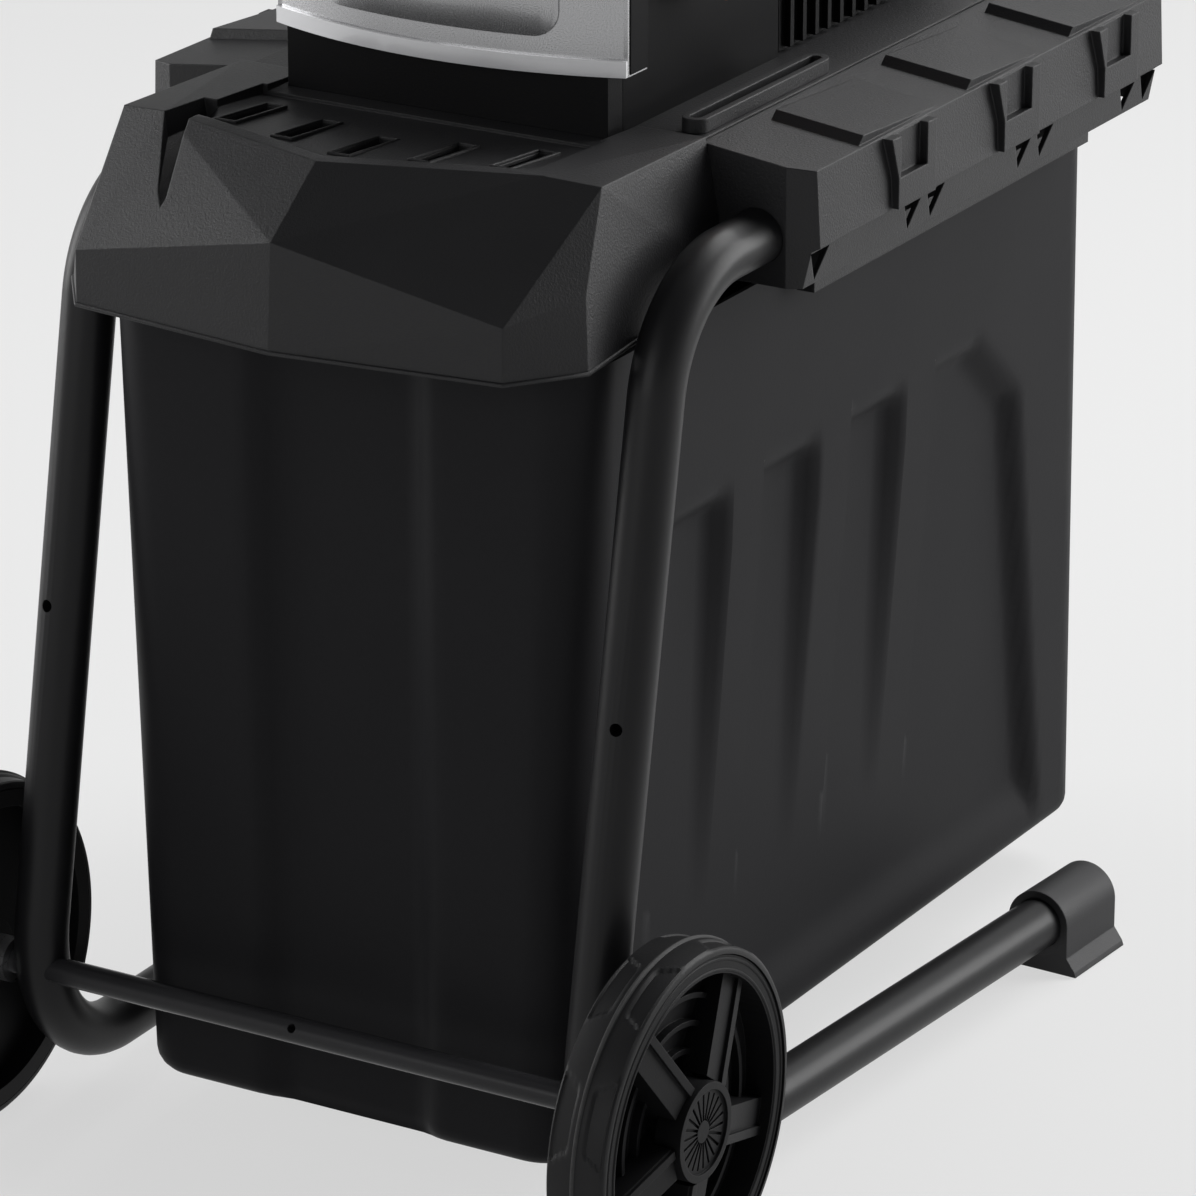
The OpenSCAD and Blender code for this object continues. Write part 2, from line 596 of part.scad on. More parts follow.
// The safety switch hangs behind the deck with a pocket for the latch
switch_w = 30;
latch_travel = 20;
module safety_switch() color([0.12, 0.12, 0.125]) placed() difference() {
  block([-switch_w, deck_rear_y, skirt_z + 4], [switch_w, latch_y + latch_t + 6, skirt_z + 34]);
  block([-latch_w / 2 - 1, latch_y - 1, skirt_z + 3], [latch_w / 2 + 1, latch_y + latch_t + 1,
    box_top_z + latch_travel + 4]);
}
module discharge_chute() color([0.13, 0.13, 0.14]) placed() difference() {
  union() {
    block([cover_gap - throat_w, throat_y[0] + cover_gap, skirt_z + 2], [throat_w - cover_gap,
      throat_y[1] - cover_gap, deck_z + 8]);
    block([-throat_w - 6, throat_y[0] - 6, deck_z], [throat_w + 6, throat_y[1] + 6, deck_z + 3]);
  }
  block([head_wall - throat_w, throat_y[0] + head_wall, skirt_z], [throat_w - head_wall,
    throat_y[1] - head_wall, deck_z + 9]);
}

// Neck: the dark front foot of the head
neck_top = deck_z + neck_h;
neck_return = 15;
module neck_housing() color([0.08, 0.08, 0.09]) placed() difference() {
  block([-neck_w, neck_y, deck_z], [neck_w, neck_y + neck_return, neck_top]);
  block([head_wall - neck_w, neck_y + head_wall, deck_z - 1], [neck_w - head_wall,
    neck_y + neck_return + 1, neck_top - head_wall]);
  block([head_wall - neck_w + 8, neck_y + head_wall + 4, deck_z], [neck_w - head_wall - 8,
    neck_y + neck_return + 1, neck_top + 1]);
}
// Side panels of the head, from the deck to the hopper's flange
panel_y = neck_y + neck_return + cover_gap;
panel_fold = 14;
knob_hole_r = 9;
screw_z = drum_at[1];
screw_y = drum_y + drum_l / 2;
module head_panel(side) color([0.5, 0.5, 0.52]) placed() mirrored(side) difference() {
  union() {
    block([neck_w - head_wall, panel_y, deck_z], [neck_w, panel_rear_y, head_top_z]);
    block([neck_w - panel_fold, panel_y, deck_z], [neck_w, panel_y + head_wall, head_top_z]);
    block([neck_w - panel_fold, panel_rear_y - head_wall, deck_z], [neck_w, panel_rear_y, head_top_z]);
  }
  if (side > 0) translate([neck_w - 9, screw_y, screw_z]) along_x() cylinder(h = 18, r = knob_hole_r);
}
module head_panel_rear() color([0.12, 0.12, 0.125]) placed() difference() {
  block([cover_gap + panel_fold - neck_w, panel_rear_y - head_wall, deck_z],
    [neck_w - panel_fold - cover_gap, panel_rear_y, head_top_z]);
  block([-case_x - cover_gap, panel_rear_y - 9, case_z[0] - cover_gap], [case_x + cover_gap,
    panel_rear_y + 9, case_z[1] + cover_gap]);
}
module head_panel_left() head_panel(-1);
module head_panel_right() head_panel(1);
// Front fairing: an upright bowed shell over the neck
fairing_w = neck_w + 9;
fairing_bow = 21;
fairing_y = neck_y - 15;
fairing_r = (fairing_w * fairing_w + fairing_bow * fairing_bow) / (2 * fairing_bow);
fairing_t = 4;
fairing_z = neck_top + cover_gap;
module bow(r) translate([0, fairing_y + fairing_r]) circle(r, $fn = 180);
panel_w = 62;
panel_z = [head_top_z - 88, head_top_z - 28];
panel_face = fairing_y - 4;
panel_back = fairing_y + 16;
module front_fairing() color([0.72, 0.73, 0.75]) placed() difference() {
  translate([0, 0, fairing_z]) linear_extrude(head_top_z - fairing_z) union() {
    intersection() {
      difference() {
        bow(fairing_r);
        bow(fairing_r - fairing_t);
      }
      translate([-fairing_w, fairing_y - 1]) square([2 * fairing_w, fairing_bow + 8]);
    }
    for (side = [-1, 1]) mirrored(side) translate([fairing_w - fairing_t,
      fairing_y + fairing_bow - side_lap])
      square([fairing_t, neck_return + 4 + side_lap]);
    for (side = [-1, 1]) mirrored(side) translate([neck_w + cover_gap,
      fairing_y + fairing_bow + neck_return - 3])
      square([fairing_w - neck_w - cover_gap, 6]);
  }
  block([-panel_w - cover_gap, fairing_y - 9, panel_z[0] - cover_gap], [panel_w + cover_gap,
    fairing_y + 18, panel_z[1] + cover_gap]);
}
trim_h = 9;
trim_t = 2.5;
trim_gap = 0.1;
side_lap = 1;
module fairing_trim() color([0.85, 0.86, 0.87]) placed() translate([0, 0, fairing_z])
  linear_extrude(trim_h) intersection() {
  difference() {
    bow(fairing_r + trim_t);
    bow(fairing_r + trim_gap);
  }
  translate([-fairing_w, fairing_y - trim_t - 1]) square([2 * fairing_w,
    fairing_bow + trim_t + 1 - side_lap - trim_gap]);
}
// Motor cover: an arched shell with upright ribs, closed at the rear
cover_y = panel_rear_y + 8;
cover_w = neck_w - 4;
arch_z = deck_z + 108;
inlet_x = 52;
inlet_z = deck_z + 40;
inlet_w = 36;
inlet_h = 44;
module cover_shape(w) {
  translate([w - cover_w, deck_z - (w > 0 ? 1 : 0)]) square([2 * (cover_w - w),
    arch_z - deck_z + (w > 0 ? 1 : 0)]);
  translate([0, arch_z]) circle(cover_w - w, $fn = 96);
}
module motor_cover() color([0.07, 0.07, 0.075]) placed() difference() {
  union() {
    run_y(cover_y, cover_rear_y) cover_shape(0);
    for (i = [0:cover_ribs - 1], side = [-1, 1]) let (pitch = (cover_rear_y - cover_y - 12) / cover_ribs)
      mirrored(side) block([cover_w - 1, cover_y + 6 + i * pitch, deck_z + 2], [cover_w + 4,
        cover_y + 10 + i * pitch, arch_z]);
  }
  difference() {
    run_y(cover_y - 1, cover_rear_y - head_wall) cover_shape(head_wall);
    block([inlet_x - inlet_w / 2 - 4, cover_rear_y - 30, deck_z - 1], [inlet_x + inlet_w / 2 + 4,
      cover_rear_y, inlet_z - inlet_h / 2 - cover_gap]);
  }
  block([inlet_x - inlet_w / 2 - cover_gap, cover_rear_y - 32, inlet_z - inlet_h / 2 - cover_gap],
    [inlet_x + inlet_w / 2 + cover_gap, cover_rear_y + 1, inlet_z + inlet_h / 2 + cover_gap]);
  for (i = [0:6]) block([-70, cover_rear_y - 9, arch_z + 4 + i * 9], [-10 - i * 2, cover_rear_y + 1,
    arch_z + 8 + i * 9]);
}
module mains_inlet() color([0.1, 0.1, 0.1]) placed() translate([inlet_x, cover_rear_y, inlet_z]) {
  difference() {
    block([-inlet_w / 2, -28, -inlet_h / 2], [inlet_w / 2, 2, inlet_h / 2]);
    block([3 - inlet_w / 2, -18, 3 - inlet_h / 2], [inlet_w / 2 - 3, 3, inlet_h / 2 - 3]);
  }
  for (p = [[-7, 5], [7, 5], [0, -9]]) translate([p[0], -20, p[1]]) along_y() cylinder(h = 16, r = 2.4);
}

// Cutter housing: a casting open above and below, with the drum's bearings in its end walls
housing_x = 64;
bearing_r = shaft_r + 11;
wall_in = chamber_wall - 2;
screw_r = 7;
module on_drum(y) translate([drum_at[0], y, drum_at[1]]) along_y() children();
module on_motor(y) translate([motor_at[0], y, motor_at[1]]) along_y() children();
module cutter_housing() color([0.62, 0.63, 0.65]) placed() difference() {
  block([-housing_x, chamber_y, deck_z + 3], [housing_x, chamber_rear, housing_top]);
  block([-throat_w, throat_y[0], deck_z], [throat_w, throat_y[1], housing_top + 1]);
  on_drum(chamber_y - 1) cylinder(h = chamber_rear - chamber_y + 2, r = bearing_r + run_gap);
  translate([throat_w - 2, screw_y, screw_z]) along_x() cylinder(h = 20, r = screw_r + run_gap);
}
module ring(y0, w, r, bore) translate([0, 0, y0]) difference() {
  cylinder(h = w, r = r);
  translate([0, 0, -1]) cylinder(h = w + 2, r = bore);
}
module drum_bearings() color([0.7, 0.7, 0.72]) placed() on_drum(0) {
  ring(chamber_y, wall_in, bearing_r, shaft_r + run_gap);
  ring(chamber_rear - wall_in, wall_in, bearing_r, shaft_r + run_gap);
}
module cutting_drum() color([0.45, 0.45, 0.47]) placed() on_drum(drum_y) difference() {
  linear_extrude(drum_l) polygon([for (i = [0:drum_teeth - 1], p = [[0, 8], [0, 0], [14, 0], [24, 8]])
    let (a = i * 360 / drum_teeth + p[0]) (drum_r - p[1]) * [cos(a), sin(a)]]);
  translate([0, 0, -1]) cylinder(h = drum_l + 2, r = shaft_r + run_gap / 2);
}
module drum_shaft() color([0.6, 0.6, 0.62]) placed() on_drum(chamber_y - 4)
  cylinder(h = far_gear_y + gear_w + 2 - chamber_y + 4, r = shaft_r);
// A spur gear's outline: straight-flanked teeth with room on each side
function tooth(m) = [[-1.2, 1.04], [0, 0.6], [0.85, 0.28]] * m;
function gear_outline(teeth, m) = [for (i = [0:teeth - 1], side = [-1, 1], k = [0:2])
  let (p = tooth(m)[side < 0 ? k : 2 - k], r = m * teeth / 2 + p[0],
    a = i * 360 / teeth + side * asin(p[1] / r)) r * [cos(a), sin(a)]];
module gear(teeth, m, turn, at, y0, y1) run_y(y0, y1) translate(at) rotate(turn)
  polygon(gear_outline(teeth, m));
module drum_gear() color([0.55, 0.55, 0.57]) placed() difference() {
  gear(wheel_teeth, drum_module, 60, drum_at, far_gear_y, far_gear_y + gear_w);
  on_drum(far_gear_y - 1) cylinder(h = gear_w + 2, r = shaft_r + run_gap / 2);
}
near_turn = atan2(motor_at[1] - idler_at[1], motor_at[0] - idler_at[0]);
half_pitch = 180 / pinion_teeth;
pin_r = 4;
module idler_gear() color([0.55, 0.55, 0.57]) placed() difference() {
  union() {
    gear(pinion_teeth, drum_module, half_pitch, idler_at, far_gear_y, near_gear_y + 1);
    gear(wheel_teeth, motor_module, near_turn, idler_at, near_gear_y, near_gear_y + gear_w);
  }
  translate([idler_at[0], far_gear_y - 1, idler_at[1]]) along_y() cylinder(h = 4 * gear_w,
    r = pin_r + run_gap);
}
module idler_pin() color([0.6, 0.6, 0.62]) placed() translate([idler_at[0], chamber_rear, idler_at[1]])
  along_y()
  cylinder(h = case_rear + plate_t - chamber_rear, r = pin_r);
case_x = 64;
case_wall = 4;
case_room = 1.5;
case_low = 22;
case_z = [deck_z + case_low, idler_at[1] + motor_module * (wheel_teeth / 2 + 0.9) + case_room + case_wall];
motor_shaft_r = 7;
module gearbox_case() color([0.58, 0.59, 0.6]) placed() difference() {
  block([-case_x, chamber_rear, case_z[0]], [case_x, case_rear, case_z[1]]);
  block([case_wall - case_x, chamber_rear + case_wall, case_z[0] + case_wall], [case_x - case_wall,
    case_rear + 1, case_z[1] - case_wall]);
  on_drum(chamber_rear - 1) cylinder(h = case_wall + 2, r = shaft_r + 1);
  translate([idler_at[0], chamber_rear - 1, idler_at[1]]) along_y() cylinder(h = case_wall + 2,
    r = pin_r + run_gap);
}
module gearbox_cover() color([0.58, 0.59, 0.6]) placed() difference() {
  block([-case_x, case_rear, case_z[0]], [case_x, case_rear + plate_t, case_z[1]]);
  on_motor(case_rear - 1) cylinder(h = plate_t + 2, r = motor_shaft_r + 1);
  translate([idler_at[0], case_rear - 1, idler_at[1]]) along_y() cylinder(h = plate_t + 2,
    r = pin_r + run_gap);
}
module motor_shaft() color([0.6, 0.6, 0.62]) placed() {
  gear(pinion_teeth, motor_module, near_turn + 180 + half_pitch, motor_at, near_gear_y, case_rear - 2);
  on_motor(case_rear - 2.5) cylinder(h = fan_y + fan_w - case_rear + 2.5, r = motor_shaft_r);
}
rotor_r = 33;
air_gap = 0.6;
module rotor() color([0.4, 0.4, 0.42]) placed() on_motor(core_y) ring(0, core_l, rotor_r,
  motor_shaft_r + run_gap / 2);
module stator() color([0.5, 0.32, 0.18]) placed() on_motor(core_y) ring(0, core_l, stator_r,
  rotor_r + air_gap);
motor_bearing_r = 16;
module motor_shields() color([0.6, 0.6, 0.62]) placed() on_motor(0) {
  shield_y = case_rear + plate_t;
  difference() {
    translate([0, 0, shield_y]) cylinder(h = core_y + 8 - shield_y, r = stator_r + 4);
    translate([0, 0, shield_y + shield_t]) cylinder(h = core_y - shield_y, r = stator_r + run_gap);
    translate([0, 0, shield_y - 1]) cylinder(h = shield_t + 2, r = motor_bearing_r + run_gap);
  }
  difference() {
    translate([0, 0, core_y + core_l - 8]) cylinder(h = tail_shield_y + shield_t - core_y - core_l + 8,
      r = stator_r + 4);
    translate([0, 0, core_y]) cylinder(h = tail_shield_y - core_y, r = stator_r + run_gap);
    translate([0, 0, tail_shield_y - 1]) cylinder(h = shield_t + 2, r = motor_bearing_r + run_gap);
  }
}
module motor_bearings() color([0.7, 0.7, 0.72]) placed() on_motor(0) {
  ring(case_rear + plate_t + 1, shield_t - 2, motor_bearing_r, motor_shaft_r + run_gap);
  ring(tail_shield_y + 1, shield_t - 2, motor_bearing_r, motor_shaft_r + run_gap);
}
fan_blades = 10;
module cooling_fan() color([0.15, 0.15, 0.16]) placed() on_motor(fan_y) difference() {
  union() {
    cylinder(h = 3, r = stator_r - 6);
    cylinder(h = fan_w - 2, r = motor_shaft_r + 6);
    for (i = [0:fan_blades - 1]) rotate(i * 360 / fan_blades) translate([motor_shaft_r + 4, -1, 2])
      cube([stator_r - 6 - motor_shaft_r - 5, 2, fan_w - 4]);
  }
  translate([0, 0, -1]) cylinder(h = fan_w + 2, r = motor_shaft_r + run_gap / 2);
}
cap_d = 36;
module capacitor() color([0.75, 0.75, 0.72]) placed() translate([-cover_w + head_wall + cap_d / 2 + 3,
  core_y, deck_z + cap_d / 2 + 0.2])
  along_y() cylinder(h = core_l, r = cap_d / 2);

// Counter plate: slides on the housing's floor towards the drum, pushed by the screw through the wall
plate_gap = 4;
plate_x = drum_at[0] + drum_r + plate_gap;
plate_w = 12;
plate_h = 68;
plate_z = [screw_z - plate_h / 2, screw_z + plate_h / 2];
module counter_plate() color([0.6, 0.6, 0.62]) placed() difference() {
  block([plate_x, throat_y[0] + loose_gap, plate_z[0]], [plate_x + plate_w, throat_y[1] - loose_gap,
    plate_z[1]]);
  translate([plate_x + plate_w - 6, screw_y, screw_z]) along_x() cylinder(h = 8, r = screw_r + loose_gap);
}
screw_tip = plate_x + plate_w - 5.5;
knob_r = 24;
knob_x = neck_w + 1;
knob_l = 20;
module adjusting_screw() color([0.6, 0.6, 0.62]) placed() translate([screw_tip, screw_y, screw_z]) along_x()
  cylinder(h = knob_x + 8 - screw_tip, r = screw_r);
grips = 12;
module adjusting_knob() color([0.8, 0.25, 0.08]) placed() translate([knob_x, screw_y, screw_z]) along_x()
  difference() {
  cylinder(h = knob_l, r = knob_r);
  translate([0, 0, -1]) cylinder(h = 9 + run_gap, r = screw_r + run_gap / 2);
  for (i = [0:grips - 1]) rotate((i + 0.5) * 360 / grips) translate([knob_r + 2, 0, 3])
    cylinder(h = knob_l, r = 4);
}

// Control panel in the fairing's window, with its buttons and selector
button_z = (panel_z[0] + panel_z[1]) / 2;
on_x = -42;
off_x = -15;
select_x = 15;
reset_x = 44;
button_r = 10;
reset_r = 5;
select_r = 13;
press = 4;
module panel_hole(x, r, y) translate([x, y, button_z]) along_y() cylinder(h = 60, r = r);
module control_panel() color([0.1, 0.1, 0.11]) placed() difference() {
  union() {
    block([-panel_w, panel_face, panel_z[0]], [panel_w, panel_back, panel_z[1]]);
    for (x = [-panel_w, panel_w - 6]) block([x, panel_back - 4, panel_z[0] - 8], [x + 6, panel_back,
      panel_z[1] + 8]);
  }
  for (x = [on_x, off_x]) panel_hole(x, button_r + loose_gap, panel_face - 1);
  panel_hole(reset_x, reset_r + loose_gap, panel_face - 1);
  panel_hole(select_x, 5 + run_gap, panel_face - 1);
}
module button(x, r) placed() translate([x, panel_face - press - 2, button_z]) along_y()
  cylinder(h = panel_back - panel_face, r = r);
module on_button() color([0.1, 0.55, 0.2]) button(on_x, button_r);
module off_button() color([0.75, 0.1, 0.08]) button(off_x, button_r);
module reset_button() color([0.12, 0.12, 0.13]) button(reset_x, reset_r);
module direction_selector() color([0.16, 0.16, 0.17]) placed() translate([select_x, 0, button_z]) {
  translate([0, panel_face - 5, 0]) along_y() cylinder(h = 5 - loose_gap, r = select_r);
  translate([0, panel_face - 6, 0]) along_y() cylinder(h = 16, r = 5);
  block([-3, panel_face - 12, -select_r + 1], [3, panel_face - 4, select_r - 1]);
}

// Hopper: a straight throat on the cutter housing, a flange that closes the head, and a funnel
mouth_w = 140;
mouth_y = [112, 372];
hopper_wall = 3;
funnel_rise = 12;
funnel_z = head_top_z + funnel_rise;
cap_lap = 14;
cap_t = 4;
function level(w, y0, y1, z) = [[-w, y0, z], [w, y0, z], [-w, y1, z], [w, y1, z]];
function funnel_points(t) = concat(level(throat_w + hopper_wall - t, throat_y[0] - hopper_wall + t,
  throat_y[1] + hopper_wall - t,
  funnel_z - (t > 0 ? 0.5 : 0)),
  level(mouth_w - t, mouth_y[0] + t, mouth_y[1] - t, hopper_top_z + (t > 0 ? 1 : 0)));
module hopper() color([0.09, 0.09, 0.095]) placed() difference() {
  union() {
    block([-throat_w - hopper_wall, throat_y[0] - hopper_wall, housing_top], [throat_w + hopper_wall,
      throat_y[1] + hopper_wall, funnel_z]);
    block([-fairing_w, fairing_y + fairing_bow - cap_lap, head_top_z], [fairing_w, panel_rear_y,
      head_top_z + cap_t]);
    corners(funnel_points(0));
  }
  block([-throat_w, throat_y[0], housing_top - 1], [throat_w, throat_y[1], funnel_z]);
  corners(funnel_points(hopper_wall));
}
rim_t = 9;
rim_h = 16;
rim_up = 4;
rim_gap = 0.02;
module hopper_rim() color([0.12, 0.12, 0.125]) placed() difference() {
  block([-mouth_w - rim_t, mouth_y[0] - rim_t, hopper_top_z + rim_up - rim_h], [mouth_w + rim_t,
    mouth_y[1] + rim_t, hopper_top_z + rim_up]);
  block([hopper_wall - mouth_w, mouth_y[0] + hopper_wall, hopper_top_z - rim_h], [mouth_w - hopper_wall,
    mouth_y[1] - hopper_wall, hopper_top_z + rim_up + 1]);
  corners(funnel_points(-rim_gap));
}
flap_t = 3;
flap_gap = 0.1;
flap_in = 4;
flap_up = 6;
flap_down = 2;
module splash_flaps() color([0.07, 0.07, 0.07]) placed() for (side = [-1, 1]) mirrored(side)
  block([throat_w - flap_t - flap_gap, throat_y[0] + flap_in, housing_top + flap_up],
    [throat_w - flap_gap, throat_y[1] - flap_in, funnel_z - flap_down]);

// Screws that hold the rails to the deck from below the rail's lip
rail_screw_r = 5;
rail_screw_h = 3;
rail_screw_in = 20;
rail_screw_end = 30;
rail_screw_up = 16;
module rail_screws() color([0.5, 0.5, 0.52]) placed() for (side = [-1, 1], y = [rail_y + rail_screw_in,
  rail_y + rail_l / 2 + rail_screw_in, deck_rear_y - rail_screw_end])
  mirrored(side) translate([rail_in_x + rail_wall, y, rail_low_z + rail_screw_up]) along_x()
  cylinder(h = rail_screw_h, r = rail_screw_r);

frame_tube_left();
frame_tube_right();
foot_left();
foot_right();
axle();
axle_washers();
axle_clips();
wheel_rim_left();
wheel_rim_right();
tyre_left();
tyre_right();
hub_cap_left();
hub_cap_right();
base_housing();
side_rail_left();
side_rail_right();
rail_slot_frame();
box_runners();
collection_box();
box_handle();
box_latch();
safety_switch();
discharge_chute();
neck_housing();
head_panel_left();
head_panel_right();
head_panel_rear();
front_fairing();
fairing_trim();
motor_cover();
hopper();
hopper_rim();
splash_flaps();
cutter_housing();
cutting_drum();
drum_shaft();
drum_gear();
drum_bearings();
counter_plate();
adjusting_screw();
adjusting_knob();
gearbox_case();
gearbox_cover();
idler_gear();
idler_pin();
rotor();
motor_shaft();
cooling_fan();
stator();
motor_shields();
motor_bearings();
capacitor();
control_panel();
on_button();
off_button();
direction_selector();
reset_button();
mains_inlet();
rail_screws();
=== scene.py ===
# %% [markdown]
# # A garden shredder on a tube frame
# The construction comes ready made: every rigid piece of the shredder is a named node in the packed
# frame, in metres, with +Z up and the wheels to the front (-Y). This lesson dresses that frame. It gives
# each node the finish of the real one, rounds its moulded edges, and models the pieces whose surface is
# too fine for the construction file, such as the tyres' tread.

# %% Load the frame
import bpy
import json
import math
from mathutils import Matrix, Vector

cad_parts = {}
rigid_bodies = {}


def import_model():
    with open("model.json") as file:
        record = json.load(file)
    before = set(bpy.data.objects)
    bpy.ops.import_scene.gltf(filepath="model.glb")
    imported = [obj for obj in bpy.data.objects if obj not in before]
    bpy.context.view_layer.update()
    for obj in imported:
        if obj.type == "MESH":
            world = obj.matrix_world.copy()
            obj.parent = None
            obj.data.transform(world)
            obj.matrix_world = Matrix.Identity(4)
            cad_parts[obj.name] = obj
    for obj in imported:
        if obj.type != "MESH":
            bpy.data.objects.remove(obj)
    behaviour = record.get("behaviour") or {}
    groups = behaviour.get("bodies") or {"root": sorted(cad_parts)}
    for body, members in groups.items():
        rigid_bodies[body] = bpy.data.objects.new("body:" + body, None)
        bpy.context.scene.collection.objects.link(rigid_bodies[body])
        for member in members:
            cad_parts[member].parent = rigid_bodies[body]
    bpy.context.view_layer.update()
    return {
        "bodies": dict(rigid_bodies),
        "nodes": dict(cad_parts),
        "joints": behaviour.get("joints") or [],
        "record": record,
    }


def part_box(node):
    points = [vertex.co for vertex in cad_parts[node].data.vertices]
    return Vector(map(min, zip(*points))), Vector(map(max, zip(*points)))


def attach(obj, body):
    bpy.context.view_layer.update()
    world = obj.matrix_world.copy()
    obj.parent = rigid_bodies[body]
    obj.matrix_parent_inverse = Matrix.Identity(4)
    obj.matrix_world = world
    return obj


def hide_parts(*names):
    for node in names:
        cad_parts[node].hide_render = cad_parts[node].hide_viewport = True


MM = 0.001
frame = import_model()
nodes = frame["nodes"]

# %% [markdown]
# ## The camera
# The picture is a close view from the front right and from above, cropped so that the cutting head runs
# out of the frame. A long lens keeps the upright lines of the box almost parallel. The camera is placed
# by its own three directions, so that nothing has to be aimed by eye.

# %% Place the camera
VIEW_TURN = math.radians(30.505)
VIEW_DROP = math.radians(20.611)
VIEW_FROM = (1.751316, -2.666617, 1.546732)
LENS_PIXELS = 6533.5
PICTURE = 1196
axle_low, axle_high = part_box("axle")
axle_y = (axle_low.y + axle_high.y) / 2
camera_data = bpy.data.cameras.new("photo_camera")
camera_data.sensor_width = 36
camera_data.lens = LENS_PIXELS / PICTURE * camera_data.sensor_width
camera_data.clip_start = 0.05
camera_data.clip_end = 60
camera = bpy.data.objects.new("photo_camera", camera_data)
bpy.context.scene.collection.objects.link(camera)
c, s = math.cos(VIEW_TURN), math.sin(VIEW_TURN)
ce, se = math.cos(VIEW_DROP), math.sin(VIEW_DROP)
right, up, back = Vector((c, s, 0)), Vector((-s * se, c * se, ce)), Vector((s * ce, -c * ce, se))
camera.matrix_world = Matrix((
    (right.x, up.x, back.x, VIEW_FROM[0]),
    (right.y, up.y, back.y, VIEW_FROM[1] + axle_y),
    (right.z, up.z, back.z, VIEW_FROM[2]),
    (0, 0, 0, 1)))
bpy.context.scene.camera = camera
print("camera at", [round(v, 3) for v in camera.matrix_world.translation],
      "lens", round(camera_data.lens, 1), "mm")

# %% [markdown]
# ## Shader maths
# A finish is a small tree of nodes. Written out node by node it hides what it does, so one class wraps a
# socket that carries a number, and plain arithmetic on it adds the Math nodes. A second class holds one
# finish and adds every other kind of node through a single method.

# %% A number on the surface
class Amount:
    """A number that varies over a surface. Arithmetic on it adds Math nodes to its tree."""

    def __init__(self, tree, socket):
        self.tree, self.socket = tree, socket

    def _math(self, operation, first, second):
        node = self.tree.nodes.new("ShaderNodeMath")
        node.operation = operation
        for socket, value in zip(node.inputs, (first, second)):
            if isinstance(value, Amount):
                self.tree.links.new(value.socket, socket)
            else:
                socket.default_value = value
        return Amount(self.tree, node.outputs[0])

    def __add__(self, other): return self._math("ADD", self, other)
    def __radd__(self, other): return self._math("ADD", other, self)
    def __sub__(self, other): return self._math("SUBTRACT", self, other)
    def __rsub__(self, other): return self._math("SUBTRACT", other, self)
    def __mul__(self, other): return self._math("MULTIPLY", self, other)
    def __rmul__(self, other): return self._math("MULTIPLY", other, self)
    def __pow__(self, other): return self._math("POWER", self, other)
    def above(self, other): return self._math("GREATER_THAN", self, other)
    def least(self, other): return self._math("MINIMUM", self, other)
    def most(self, other): return self._math("MAXIMUM", self, other)


print("operators:", len([n for n in vars(Amount) if not n.startswith("_") or n.startswith("__r")]))


# %% A finish
# Places of the colour sockets among a Mix node's many
COLOUR_A, COLOUR_B, COLOUR_OUT = 6, 7, 2


class Finish:
    """One procedural material on Object coordinates, with a single Principled shader."""

    def __init__(self, name, **constants):
        self.material = bpy.data.materials.new(name)
        self.material.use_nodes = True
        self.tree = self.material.node_tree
        self.shader = self.tree.nodes["Principled BSDF"]
        self.place = self.tree.nodes.new("ShaderNodeTexCoord").outputs["Object"]
        for socket, value in constants.items():
            self.shader.inputs[socket.replace("_", " ")].default_value = value

    def node(self, kind, settings=None, **inputs):
        """Adds a node: its settings first, then a value or a link for each socket that is named."""
        node = self.tree.nodes.new("ShaderNode" + kind)
        for key, value in (settings or {}).items():
            if key == "stops":
                ramp = node.color_ramp
                while len(ramp.elements) < len(value):
                    ramp.elements.new(0.5)
                for element, (place, colour) in zip(ramp.elements, value):
                    element.position, element.color = place, (*colour, 1)
            else:
                setattr(node, key, value)
        for key, value in inputs.items():
            name = key.replace("_", " ")
            socket = next(i for i in node.inputs if i.enabled and i.name == name)
            self.link(value, socket)
        return node

    def link(self, value, socket):
        if isinstance(value, Amount):
            self.tree.links.new(value.socket, socket)
        elif isinstance(value, bpy.types.NodeSocket):
            self.tree.links.new(value, socket)
        else:
            socket.default_value = value

    def noise(self, scale, detail=2.0, roughness=0.5, place=None):
        node = self.node("TexNoise", Vector=place or self.place, Scale=scale, Detail=detail,
                         Roughness=roughness)
        return Amount(self.tree, node.outputs["Fac"])

    def stretched(self, scale):
        """Object coordinates drawn out along an axis, for brushing and for moulding flow."""
        return self.node("Mapping", Vector=self.place, Scale=scale).outputs["Vector"]

    def mix(self, factor, first, second):
        """A colour between two, by a number on the surface."""
        node = self.node("Mix", {"data_type": "RGBA"}, Factor=factor)
        self.link(first, node.inputs[COLOUR_A])
        self.link(second, node.inputs[COLOUR_B])
        return node.outputs[COLOUR_OUT]

    def feed(self, socket, value):
        self.link(value, self.shader.inputs[socket])

    def bump(self, height, strength, distance, edge=0.0):
        """A relief on the surface. With edge, every corner is also shaded as if rounded by that radius."""
        node = self.node("Bump", Strength=strength, Distance=distance, Height=height)
        if edge:
            soft = self.node("Bevel", {"samples": 6}, Radius=edge)
            self.link(soft.outputs["Normal"], node.inputs["Normal"])
        self.feed("Normal", node.outputs["Normal"])


def grey(level, tint=0.0):
    """A near-black plastic's colour: a level of grey, a little colder with tint."""
    return (level * (1 - 0.3 * tint), level * (1 - 0.35 * tint), level * (1 + 0.4 * tint), 1)


print("finishes are made of", Finish.__name__, "and", Amount.__name__)

# %% [markdown]
# ## Moulded plastic
# The base, the rails and the head are injection moulded in a black plastic with a fine spark-eroded
# grain. Seen close it is a field of tiny pits; from further off it is a soft sheen that is not quite even.
# A fine noise gives the pits, and a slow one varies the sheen and the colour by a few percent.

